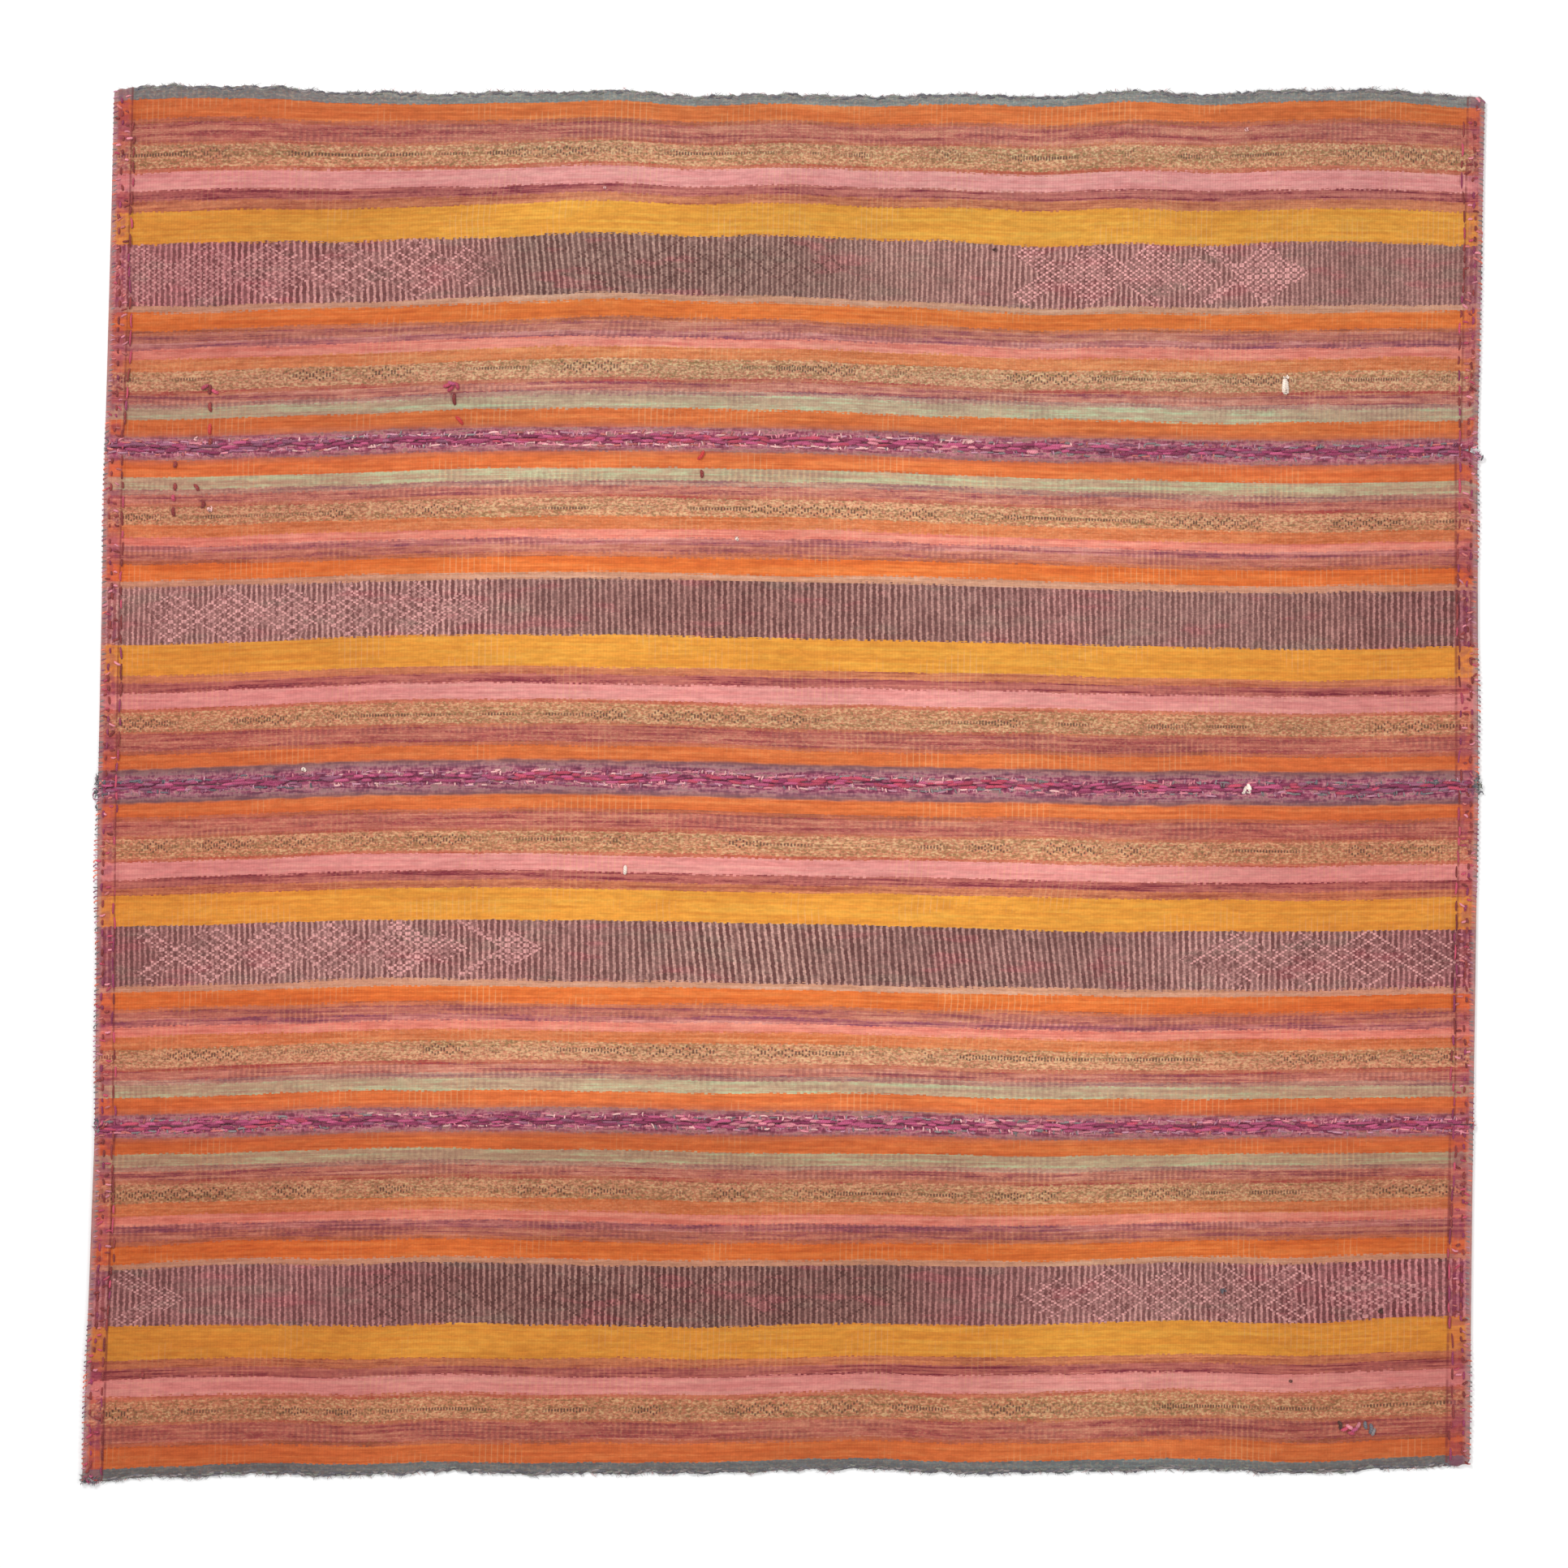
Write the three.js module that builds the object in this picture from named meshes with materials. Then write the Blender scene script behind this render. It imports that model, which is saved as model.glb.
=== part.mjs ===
// A flat kilim of four long woven strips, sewn side by side.
// The stripes and warp threads run along X, the strips lie side by side along Y, and Z is up.
// All sizes are in millimetres. The origin is under the middle of the rug, on the surface it lies on.
import * as THREE from 'three';

// Driving sizes of the cloth
const CLOTH_THICKNESS = 2.4;
const HEM_THICKNESS = 4.6;      // the cloth lies double in the hem
const HEM_WIDTH = 21;           // from the folded end to the raw edge tucked under it
const HEM_SLOPE = 5;            // length over which the upper side comes down from the hem
const EDGE_ROUNDING = 1.1;      // how far a selvedge or folded end is rounded over
const STRIP_GAP = 0.3;          // between two strips along a seam
const STATION_STEP = 26;        // distance between cross-sections along a strip

// Where the seam is undone at the right end of the first seam, the two corners have drawn apart
const OPEN_SEAM = { line: 'seam1', length: 17, width: 12, curve: 1.5 };

// Long edges: for each distance X along the rug, Y of the top selvedge, the seams and the bottom selvedge
const LONG_EDGES = [
  { x: -820, top: 806, seam1: 390, seam2: -7, seam3: -402, bottom: -815 },
  { x: -700, top: 813, seam1: 389, seam2: -4, seam3: -400, bottom: -810 },
  { x: -600, top: 811, seam1: 392, seam2: 0, seam3: -397, bottom: -807 },
  { x: -500, top: 805, seam1: 395, seam2: 4, seam3: -394, bottom: -809 },
  { x: -400, top: 804, seam1: 399, seam2: 5, seam3: -393, bottom: -804 },
  { x: -300, top: 805, seam1: 400, seam2: 6, seam3: -393, bottom: -807 },
  { x: -200, top: 807, seam1: 400, seam2: 5, seam3: -394, bottom: -806 },
  { x: -100, top: 801, seam1: 399, seam2: 4, seam3: -396, bottom: -806 },
  { x: 0, top: 803, seam1: 398, seam2: 1, seam3: -397, bottom: -803 },
  { x: 100, top: 800, seam1: 395, seam2: -1, seam3: -397, bottom: -801 },
  { x: 200, top: 803, seam1: 391, seam2: -3, seam3: -399, bottom: -806 },
  { x: 300, top: 800, seam1: 388, seam2: -4, seam3: -401, bottom: -805 },
  { x: 400, top: 806, seam1: 387, seam2: -7, seam3: -401, bottom: -803 },
  { x: 500, top: 803, seam1: 385, seam2: -6, seam3: -401, bottom: -802 },
  { x: 600, top: 808, seam1: 384, seam2: -8, seam3: -400, bottom: -806 },
  { x: 700, top: 807, seam1: 385, seam2: -7, seam3: -399, bottom: -801 },
  { x: 820, top: 798, seam1: 387, seam2: -5, seam3: -398, bottom: -795 },
];

// Folded ends: for each distance Y across the rug, X of the left and of the right end
const ENDS = [
  { y: 820, left: -779, right: 816 },
  { y: 700, left: -781, right: 813 },
  { y: 600, left: -782, right: 812 },
  { y: 500, left: -784, right: 810 },
  { y: 400, left: -790, right: 807 },
  { y: 300, left: -793, right: 809 },
  { y: 200, left: -793, right: 805 },
  { y: 100, left: -795, right: 810 },
  { y: 0, left: -798, right: 808 },
  { y: -100, left: -803, right: 807 },
  { y: -200, left: -801, right: 802 },
  { y: -300, left: -803, right: 802 },
  { y: -400, left: -802, right: 802 },
  { y: -500, left: -802, right: 799 },
  { y: -600, left: -808, right: 797 },
  { y: -700, left: -815, right: 800 },
  { y: -820, left: -817, right: 797 },
];

// One row per strip: its name, the lines that it lies between, and its main colour
const STRIPS = [
  { name: 'woven_strip_1', upper: 'top', lower: 'seam1', color: 0xc9824f },
  { name: 'woven_strip_2', upper: 'seam1', lower: 'seam2', color: 0xc57c55 },
  { name: 'woven_strip_3', upper: 'seam2', lower: 'seam3', color: 0xcb8650 },
  { name: 'woven_strip_4', upper: 'seam3', lower: 'bottom', color: 0xbd7549 },
];
const OUTER_SELVEDGES = ['top', 'bottom'];
const WOOL_ROUGHNESS = 0.95;

// Smooth curve through the rows of a table, whose places rise from row to row
function curveThrough(places, values, at) {
  const last = places.length - 1;
  let row = 0;
  while (row < last - 1 && at > places[row + 1]) row += 1;
  const span = places[row + 1] - places[row];
  const t = THREE.MathUtils.clamp((at - places[row]) / span, 0, 1);
  const slope = (i) => {
    const before = Math.max(i - 1, 0);
    const after = Math.min(i + 1, last);
    return (values[after] - values[before]) / (places[after] - places[before]);
  };
  const start = values[row] * (1 + 2 * t) * (1 - t) ** 2 + values[row + 1] * t * t * (3 - 2 * t);
  return start + span * (slope(row) * t * (1 - t) ** 2 - slope(row + 1) * t * t * (1 - t));
}

const longPlaces = LONG_EDGES.map((row) => row.x);
const endPlaces = ENDS.map((row) => -row.y);

function longEdge(line, x) {
  return curveThrough(longPlaces, LONG_EDGES.map((row) => row[line]), x);
}

function end(side, y) {
  return curveThrough(endPlaces, ENDS.map((row) => row[side]), -y);
}

// Half the opening between the two strips of a seam, at a distance from the rug's right end
function halfOpening(line, fromRight) {
  if (OUTER_SELVEDGES.includes(line)) return 0;
  const isOpen = line === OPEN_SEAM.line && fromRight < OPEN_SEAM.length;
  const drawn = isOpen ? (1 - fromRight / OPEN_SEAM.length) ** OPEN_SEAM.curve * OPEN_SEAM.width : 0;
  return (STRIP_GAP + drawn) / 2;
}

// Distances from the left end at which a strip is cut into cross-sections
function stationDistances(length) {
  const nearEnd = [0, EDGE_ROUNDING, OPEN_SEAM.length / 2, OPEN_SEAM.length, HEM_WIDTH, HEM_WIDTH + HEM_SLOPE];
  const middleStart = nearEnd[nearEnd.length - 1];
  const middleLength = length - 2 * middleStart;
  const steps = Math.round(middleLength / STATION_STEP);
  const middle = Array.from({ length: steps - 1 }, (_, i) => middleStart + (middleLength * (i + 1)) / steps);
  return [...nearEnd, ...middle, ...nearEnd.map((distance) => length - distance).reverse()];
}

function thicknessAt(fromEnd) {
  const down = THREE.MathUtils.smoothstep(fromEnd, HEM_WIDTH, HEM_WIDTH + HEM_SLOPE);
  return THREE.MathUtils.lerp(HEM_THICKNESS, CLOTH_THICKNESS, down);
}

// Cross-section of the cloth: distance in from the nearer long edge, and height as a share of the thickness
const SECTION = [
  { from: 'upper', inset: EDGE_ROUNDING, height: 0 },
  { from: 'upper', inset: 0, height: 0.3 },
  { from: 'upper', inset: 0, height: 0.7 },
  { from: 'upper', inset: EDGE_ROUNDING, height: 1 },
  { from: 'middle', inset: 0, height: 1 },
  { from: 'lower', inset: EDGE_ROUNDING, height: 1 },
  { from: 'lower', inset: 0, height: 0.7 },
  { from: 'lower', inset: 0, height: 0.3 },
  { from: 'lower', inset: EDGE_ROUNDING, height: 0 },
  { from: 'middle', inset: 0, height: 0 },
];
const END_FACE_HEIGHTS = { low: 0.3, high: 0.7 };

// The ring of points of one cross-section, a given distance along a strip
function sectionPoints(strip, distance, length) {
  const fromEnd = Math.min(distance, length - distance);
  const thickness = thicknessAt(fromEnd);
  const share = distance / length;
  const isEndFace = fromEnd === 0;
  const edgePoint = (line, side) => {
    const roughY = longEdge(line, THREE.MathUtils.lerp(end('left', 0), end('right', 0), share));
    const x = THREE.MathUtils.lerp(end('left', roughY), end('right', roughY), share);
    return { x, y: longEdge(line, x) + side * halfOpening(line, length - distance) };
  };
  const upper = edgePoint(strip.upper, -1);
  const lower = edgePoint(strip.lower, 1);
  const place = {
    upper: (inset) => ({ x: upper.x, y: upper.y - inset }),
    lower: (inset) => ({ x: lower.x, y: lower.y + inset }),
    middle: () => ({ x: (upper.x + lower.x) / 2, y: (upper.y + lower.y) / 2 }),
  };
  return SECTION.map(({ from, inset, height }) => {
    const { x, y } = place[from](inset);
    const level = isEndFace
      ? THREE.MathUtils.clamp(height, END_FACE_HEIGHTS.low, END_FACE_HEIGHTS.high)
      : height;
    return new THREE.Vector3(x, y, level * thickness);
  });
}

// Triangles over the first or the last ring: pairs of points across the cloth, from edge to edge
function endFace(ringStart, turned) {
  const pairs = [[1, 2], [0, 3], [9, 4], [8, 5], [7, 6]];
  const triangles = [];
  for (let i = 0; i < pairs.length - 1; i += 1) {
    const [lowA, highA] = pairs[i];
    const [lowB, highB] = pairs[i + 1];
    triangles.push([lowA, lowB, highB], [lowA, highB, highA]);
  }
  return triangles.flatMap((triangle) => {
    const corners = triangle.map((corner) => corner + ringStart);
    return turned ? corners.reverse() : corners;
  });
}

// One strip of cloth: rings of points joined along its length, and closed at both ends
function stripGeometry(strip) {
  const middleY = (longEdge(strip.upper, 0) + longEdge(strip.lower, 0)) / 2;
  const length = end('right', middleY) - end('left', middleY);
  const rings = stationDistances(length).map((distance) => sectionPoints(strip, distance, length));
  const ringSize = SECTION.length;
  const positions = rings.flat().flatMap((point) => point.toArray());
  const indices = [];
  for (let ring = 0; ring < rings.length - 1; ring += 1) {
    for (let i = 0; i < ringSize; i += 1) {
      const a = ring * ringSize + i;
      const b = ring * ringSize + ((i + 1) % ringSize);
      indices.push(a, b, b + ringSize, a, b + ringSize, a + ringSize);
    }
  }
  indices.push(...endFace(0, false));
  indices.push(...endFace((rings.length - 1) * ringSize, true));
  const geometry = new THREE.BufferGeometry();
  geometry.setAttribute('position', new THREE.Float32BufferAttribute(positions, 3));
  geometry.setIndex(indices);
  geometry.computeVertexNormals();
  return geometry;
}

const kilim = new THREE.Group();
STRIPS.forEach((strip) => {
  const material = new THREE.MeshStandardMaterial({
    color: strip.color,
    roughness: WOOL_ROUGHNESS,
    metalness: 0,
  });
  const mesh = new THREE.Mesh(stripGeometry(strip), material);
  mesh.name = strip.name;
  kilim.add(mesh);
});

// The origin goes to the middle of the rug's own box
const box = new THREE.Box3().setFromObject(kilim);
const centre = box.getCenter(new THREE.Vector3());
kilim.position.set(-centre.x, -centre.y, -box.min.z);

export default kilim;
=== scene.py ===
import math
from collections import namedtuple
from math import floor

import bpy
import numpy as np
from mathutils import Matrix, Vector


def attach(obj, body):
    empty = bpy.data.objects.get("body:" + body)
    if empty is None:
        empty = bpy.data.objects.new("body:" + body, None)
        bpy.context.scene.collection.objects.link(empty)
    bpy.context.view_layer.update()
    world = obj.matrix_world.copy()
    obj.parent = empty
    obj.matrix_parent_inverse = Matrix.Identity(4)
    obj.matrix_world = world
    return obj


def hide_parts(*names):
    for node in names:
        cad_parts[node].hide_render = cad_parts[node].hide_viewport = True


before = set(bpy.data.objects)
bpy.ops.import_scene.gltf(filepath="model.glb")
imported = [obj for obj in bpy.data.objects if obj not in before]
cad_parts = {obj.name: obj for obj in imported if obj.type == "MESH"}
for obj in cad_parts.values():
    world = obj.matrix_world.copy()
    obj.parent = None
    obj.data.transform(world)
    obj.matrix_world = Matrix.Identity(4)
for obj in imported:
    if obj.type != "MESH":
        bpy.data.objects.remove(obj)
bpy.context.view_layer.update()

MM = 0.001

# Driving sizes of the cloth, as in the solids
CLOTH_THICKNESS = 2.4
HEM_THICKNESS = 4.6
HEM_WIDTH = 21.0
HEM_SLOPE = 5.0
STRIP_GAP = 0.3
OPEN_SEAM_LINE = "seam1"
OPEN_SEAM_LENGTH = 17.0
OPEN_SEAM_WIDTH = 12.0
OPEN_SEAM_CURVE = 1.5

# The weave: visible width of a warp thread, and width of the stripe pattern
WARP = 1.1
PATTERN_WIDTH = 402.0

# Columns: x along the rug, then y of the top selvedge, the three seams and the bottom selvedge
LONG_EDGES = [
    (-820, 806, 390, -7, -402, -815),
    (-700, 813, 389, -4, -400, -810),
    (-600, 811, 392, 0, -397, -807),
    (-500, 805, 395, 4, -394, -809),
    (-400, 804, 399, 5, -393, -804),
    (-300, 805, 400, 6, -393, -807),
    (-200, 807, 400, 5, -394, -806),
    (-100, 801, 399, 4, -396, -806),
    (0, 803, 398, 1, -397, -803),
    (100, 800, 395, -1, -397, -801),
    (200, 803, 391, -3, -399, -806),
    (300, 800, 388, -4, -401, -805),
    (400, 806, 387, -7, -401, -803),
    (500, 803, 385, -6, -401, -802),
    (600, 808, 384, -8, -400, -806),
    (700, 807, 385, -7, -399, -801),
    (820, 798, 387, -5, -398, -795),
]
LINES = ("top", "seam1", "seam2", "seam3", "bottom")
SEAMS = ("seam1", "seam2", "seam3")

# Columns: y across the rug, then x of its left and right end
ENDS = [
    (-820, -817, 797), (-700, -815, 800), (-600, -808, 797), (-500, -802, 799), (-400, -802, 802),
    (-300, -803, 802), (-200, -801, 802), (-100, -803, 807), (0, -798, 808), (100, -795, 810),
    (200, -793, 805), (300, -793, 809), (400, -790, 807), (500, -784, 810), (600, -782, 812),
    (700, -781, 813), (820, -779, 816),
]

# How far the stripes wander towards the inner edge of their strip, at four tracks across it
# Columns: x along the rug, then the drifts at the tracks of strips 1 to 4
TRACKS = (0.08, 0.34, 0.62, 0.87)
DRIFTS = [
    (-719, (3, 10, 10, 5), (3.5, 1.5, -0.5, -1.5), (0.5, -3, -1.5, -1.5), (0.5, 7, 4, 2.5)),
    (-473, (-1, 3, 4.5, 1.5), (4, 2, -1, -3), (2, -3, 0, -2.5), (-1, 2, 4, 3)),
    (-228, (-1.5, -3, -0.5, -2), (4, 1, -0.5, -1.5), (1.5, -1.5, 1.5, -2.5), (0.5, 1.5, 1, 1.5)),
    (18, (-3, -3.5, -0.5, -2), (2, 0, 0, -1), (4, -1, 0, -2), (-0.5, 1.5, -0.5, -0.5)),
    (264, (-1.5, 1.5, 5, 0.5), (2, 2.5, 0.5, -2), (3, 0, 3.5, 0.5), (0.5, 5.5, 1.5, 0)),
    (509, (-2, 2.5, 5, 2), (2, -1, -2.5, -5), (3, 1.5, 4, 0.5), (0.5, 7, 7, 3)),
    (755, (-1, 2.5, 1.5, 1), (2, -0.5, -1, -4.5), (2, 1.5, 1.5, 0), (0, 8, 8.5, 3.5)),
]

# Further drifts between the tracks: share across the strip, then the drift in strips 1 to 4
BULGES = {0.2: (0.6, 0.0, 0.0, 1.8), 0.75: (0.6, 1.4, 0.7, 1.9)}
BULGE_REACH = 0.13

# Distance between wefts. Columns: x along the rug, then the distance in strips 1 to 4
WEFTS = [
    (-820, 3.2, 3.1, 3.1, 3.4),
    (-724, 3.3, 3.1, 3.2, 3.5),
    (-554, 3.9, 3.2, 3.3, 3.4),
    (-384, 3.3, 3.5, 3.5, 3.4),
    (-214, 3.6, 3.5, 3.7, 3.6),
    (-43, 3.1, 3.6, 4.0, 3.3),
    (127, 3.0, 3.6, 3.8, 3.5),
    (297, 3.3, 3.5, 3.6, 3.6),
    (467, 3.0, 3.2, 3.6, 3.1),
    (637, 2.9, 3.4, 3.4, 3.6),
    (820, 3.0, 3.9, 3.3, 4.1),
]
MEAN_WEFT = 3.45

# How far the wefts lean across the barred stripe, as sideways course for each millimetre down
# Columns: x along the rug, then the lean in strips 1 to 4
LEANS = [
    (-820, 0.02, -0.02, 0.02, 0.0),
    (-560, 0.03, 0.02, 0.03, 0.04),
    (-330, 0.12, 0.0, 0.02, 0.03),
    (-190, 0.12, 0.03, 0.03, 0.0),
    (-120, 0.04, 0.02, 0.12, 0.02),
    (60, 0.0, 0.0, 0.13, 0.03),
    (110, 0.02, 0.0, 0.06, 0.02),
    (160, 0.0, 0.02, 0.13, 0.0),
    (330, -0.02, 0.03, 0.13, -0.02),
    (420, 0.0, 0.0, 0.05, 0.0),
    (620, 0.03, 0.0, 0.0, 0.05),
    (820, 0.0, 0.0, 0.0, 0.02),
]

# One row per strip. Its outer edge, with the orange and rose stripes, is the lower one where the strip is
# turned round. The tint multiplies the strip's colours, in part as painted shade that makes the outer
# strips darker than the middle ones, and the edge tint those of its selvedge.
Strip = namedtuple("Strip", "upper lower turned tint edge_tint")
STRIPS = [
    Strip("top", "seam1", False, (0.94, 1.0, 1.03, 1), (1.02, 1.12, 1.14, 1)),
    Strip("seam1", "seam2", True, (1.04, 1.0, 1.0, 1), (1.0, 1.0, 1.0, 1)),
    Strip("seam2", "seam3", False, (1.06, 1.0, 0.99, 1), (1.0, 1.0, 1.0, 1)),
    Strip("seam3", "bottom", True, (0.94, 0.9, 0.86, 1), (0.72, 0.88, 1.0, 1)),
]

# How far the cloth has faded, together with painted light falloff that makes it darker towards both ends
# and lighter in the middle, from 0 to 1. Columns: x along the rug, then fading and painted light of strips
# 1 to 4
LIGHT_AND_FADING = [
    (-760, 0.0, 0.09, 0.17, 0.04),
    (-615, 0.07, 0.22, 0.23, 0.0),
    (-511, 0.2, 0.35, 0.48, 0.17),
    (-407, 0.47, 0.64, 0.71, 0.43),
    (-303, 0.76, 0.83, 0.8, 0.29),
    (-100, 0.68, 0.78, 0.81, 0.35),
    (60, 0.57, 0.87, 0.91, 0.4),
    (216, 0.78, 0.95, 0.98, 0.43),
    (330, 0.78, 0.81, 0.95, 0.91),
    (424, 0.71, 0.71, 0.78, 0.83),
    (528, 0.56, 0.54, 0.37, 0.63),
    (632, 0.49, 0.35, 0.19, 0.24),
    (760, 0.4, 0.24, 0.3, 0.1),
]
# Painted light falloff with fading: painted shade darkens the ends, where nothing has faded, and painted
# light brightens the faded middle
UNFADED_AND_SHADED = (0.86, 0.77, 0.77, 1)  # what multiplies the stripes' colours where nothing has faded, with painted shade that darkens the ends
FADED_AND_LIT = (1.11, 1.22, 1.21, 1)

# The stripes of one strip from its outer edge, with their widths and the colours of their main,
# dark and light threads. The numbers tell how much of these come, from 0 to 1: dark streaks, light
# streaks, specks, dark ticks and bare wefts.
Stripe = namedtuple("Stripe", "name width main dark light darks lights specks ticks wefts")
STRIPES = [Stripe(*row) for row in (
    ("selvedge", 13.5, (128, 124, 121), (94, 96, 100), (158, 156, 148), 0.5, 0.4, 0.2, 0.1, 0.0),
    ("orange", 20.5, (214, 111, 59), (190, 88, 44), (226, 136, 80), 0.6, 0.6, 0.0, 0.04, 0.4),
    ("rust line", 4.7, (188, 100, 74), (138, 78, 56), (206, 124, 92), 0.7, 0.5, 0.1, 0.15, 0.2),
    ("rose", 18.0, (185, 102, 90), (144, 60, 68), (208, 136, 112), 0.95, 0.85, 0.15, 0.5, 0.1),
    ("red line", 3.8, (189, 110, 84), (162, 66, 60), (214, 134, 94), 0.8, 0.6, 0.2, 0.2, 0.2),
    ("tan", 7.6, (198, 137, 104), (162, 124, 86), (220, 162, 122), 0.8, 0.7, 0.7, 0.1, 0.2),
    ("tan ticks", 7.6, (198, 138, 103), (160, 124, 84), (218, 160, 118), 0.8, 0.7, 0.7, 0.1, 0.2),
    ("inner tan", 7.6, (202, 134, 100), (164, 124, 84), (222, 160, 120), 0.8, 0.7, 0.7, 0.1, 0.2),
    ("orange line", 5.7, (199, 111, 88), (180, 76, 56), (222, 138, 102), 0.8, 0.6, 0.2, 0.1, 0.2),
    ("pink", 19.9, (225, 145, 140), (206, 118, 113), (232, 166, 152), 0.6, 0.6, 0.0, 0.06, 0.25),
    ("wine", 11.4, (178, 96, 90), (126, 44, 60), (204, 124, 108), 1.0, 0.8, 0.05, 0.3, 0.05),
    ("rose gold", 8.5, (197, 116, 82), (160, 78, 60), (220, 138, 94), 0.9, 0.7, 0.1, 0.15, 0.2),
    ("gold", 37.8, (225, 150, 58), (211, 128, 48), (232, 170, 73), 0.6, 0.6, 0.0, 0.0, 0.35),
    ("barred", 67.5, (160, 110, 104), (130, 80, 78), (190, 140, 130), 0.0, 0.0, 0.0, 1.0, 0.0),
    ("pale line", 9.0, (206, 146, 118), (176, 126, 100), (216, 168, 144), 0.7, 0.7, 0.1, 0.05, 0.2),
    ("deep orange", 18.0, (222, 113, 52), (194, 86, 40), (232, 136, 74), 0.6, 0.6, 0.0, 0.04, 0.5),
    ("brown line", 4.7, (196, 111, 81), (152, 78, 58), (214, 130, 96), 0.8, 0.6, 0.1, 0.15, 0.2),
    ("mauve", 9.5, (189, 110, 94), (146, 72, 82), (212, 140, 118), 0.95, 0.8, 0.1, 0.5, 0.1),
    ("plum", 8.5, (186, 108, 104), (130, 62, 90), (216, 146, 138), 0.95, 0.85, 0.1, 0.6, 0.1),
    ("coral", 10.9, (228, 136, 118), (206, 102, 88), (238, 160, 138), 0.7, 0.7, 0.0, 0.06, 0.2),
    ("tan orange", 12.8, (216, 123, 78), (194, 100, 54), (228, 150, 98), 0.8, 0.7, 0.15, 0.06, 0.25),
    ("second tan", 8.5, (205, 142, 105), (166, 130, 90), (224, 170, 128), 0.8, 0.7, 0.7, 0.1, 0.2),
    ("second ticks", 7.6, (206, 148, 113), (164, 132, 94), (224, 172, 132), 0.8, 0.7, 0.7, 0.1, 0.2),
    ("last tan", 8.5, (206, 142, 110), (168, 128, 92), (224, 168, 130), 0.8, 0.7, 0.7, 0.1, 0.2),
    ("second red", 4.7, (193, 115, 90), (168, 62, 64), (216, 140, 110), 0.95, 0.6, 0.2, 0.15, 0.2),
    ("second rose", 10.4, (194, 117, 101), (140, 62, 80), (220, 152, 132), 0.95, 0.85, 0.15, 0.5, 0.1),
    ("sage shade", 5.7, (185, 133, 118), (134, 94, 104), (202, 168, 148), 0.8, 0.7, 0.2, 0.5, 0.1),
    ("sage", 13.2, (189, 160, 131), (172, 132, 112), (188, 194, 154), 0.7, 0.9, 0.1, 0.3, 0.3),
    ("inner orange", 20.5, (216, 110, 58), (188, 86, 42), (230, 136, 78), 0.6, 0.6, 0.0, 0.05, 0.4),
    ("seam grey", 15.0, (168, 118, 110), (120, 88, 98), (190, 156, 148), 0.8, 0.7, 0.3, 0.5, 0.0),
)]

# Dyes of the barred stripe, and what multiplies them in its dark and its light threads
BAR_DYES = {
    "magenta": (155, 94, 94), "wine": (148, 94, 91), "rose": (162, 109, 104), "salmon": (168, 117, 111),
    "tawny": (161, 116, 107), "olive": (143, 106, 97), "chestnut": (149, 102, 95),
    "plum": (152, 107, 100), "umber": (132, 90, 83),
}
DARK_THREAD = (0.4, 0.3, 0.32, 1)
LIGHT_THREAD = (1.8, 2.1, 2.1, 1)

# The barred stripe along each strip: x of a zone's middle, its dye, and how clear its bars are
BAR_ZONES = [
    [(-760, "magenta", 0.7), (-640, "magenta", 0.85), (-520, "rose", 0.9), (-400, "rose", 0.75),
     (-300, "olive", 0.8), (-120, "olive", 0.75), (40, "olive", 0.6), (130, "tawny", 0.6),
     (330, "salmon", 0.8), (540, "salmon", 0.7), (640, "plum", 0.5), (780, "plum", 0.52)],
    [(-720, "rose", 0.72), (-500, "salmon", 0.8), (-400, "salmon", 0.9), (-280, "plum", 0.7),
     (-100, "chestnut", 0.8), (200, "plum", 0.75), (320, "rose", 0.75), (400, "plum", 0.6),
     (520, "plum", 0.6), (620, "chestnut", 0.7), (780, "wine", 0.85)],
    [(-760, "wine", 0.65), (-680, "rose", 0.75), (-500, "salmon", 0.82), (-320, "rose", 0.8),
     (-200, "plum", 0.75), (-90, "tawny", 0.92), (30, "tawny", 0.9), (120, "plum", 0.82),
     (370, "plum", 0.78), (530, "salmon", 0.85), (640, "rose", 0.85), (780, "magenta", 0.8)],
    [(-740, "wine", 0.72), (-480, "wine", 0.74), (-320, "umber", 0.85), (-200, "umber", 0.95),
     (130, "umber", 0.75), (220, "wine", 0.7), (320, "rose", 0.75), (430, "salmon", 0.8),
     (540, "rose", 0.9), (650, "magenta", 0.85), (780, "magenta", 0.95)],
]

# Zones where single floats are picked up in the barred stripe of each strip: from and to x, their
# strength, the side that the zone's tip points to, cells from line to line, and light or dark floats
Zone = namedtuple("Zone", "start finish strength tip ring light")
PICK_UP_ZONES = [
    [Zone(-780, -560, 0.45, 1, 4, True), Zone(-560, -336, 0.75, 1, 6, True),
     Zone(-250, 60, 0.7, 1, 8, False), Zone(287, 500, 1.0, 1, 4, True), Zone(514, 598, 1.0, 1, 3, True)],
    [Zone(-735, -404, 0.8, 1, 5, True), Zone(-400, -346, 0.7, 1, 4, True)],
    [Zone(-725, -430, 0.8, 1, 5, True), Zone(-424, -370, 1.0, 1, 3, True),
     Zone(-330, -282, 0.8, 1, 3, True), Zone(457, 810, 0.9, -1, 6, True)],
    [Zone(-735, -690, 0.6, 1, 4, True), Zone(-470, 150, 0.8, 1, 8, False),
     Zone(268, 590, 0.8, -1, 6, True), Zone(640, 760, 0.5, 1, 5, True)],
]
PICK_UP_CELL = 2.2  # height of a cell of the picked-up pattern, which is one weft long
DIAMOND_CELLS = 22  # cells from one diamond to the next
DIAMOND_REACH = 15  # cells from a diamond's middle to its corners
ZONE_SLANT = 1.8  # how far a zone's tip stands out for each millimetre up or down

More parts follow.
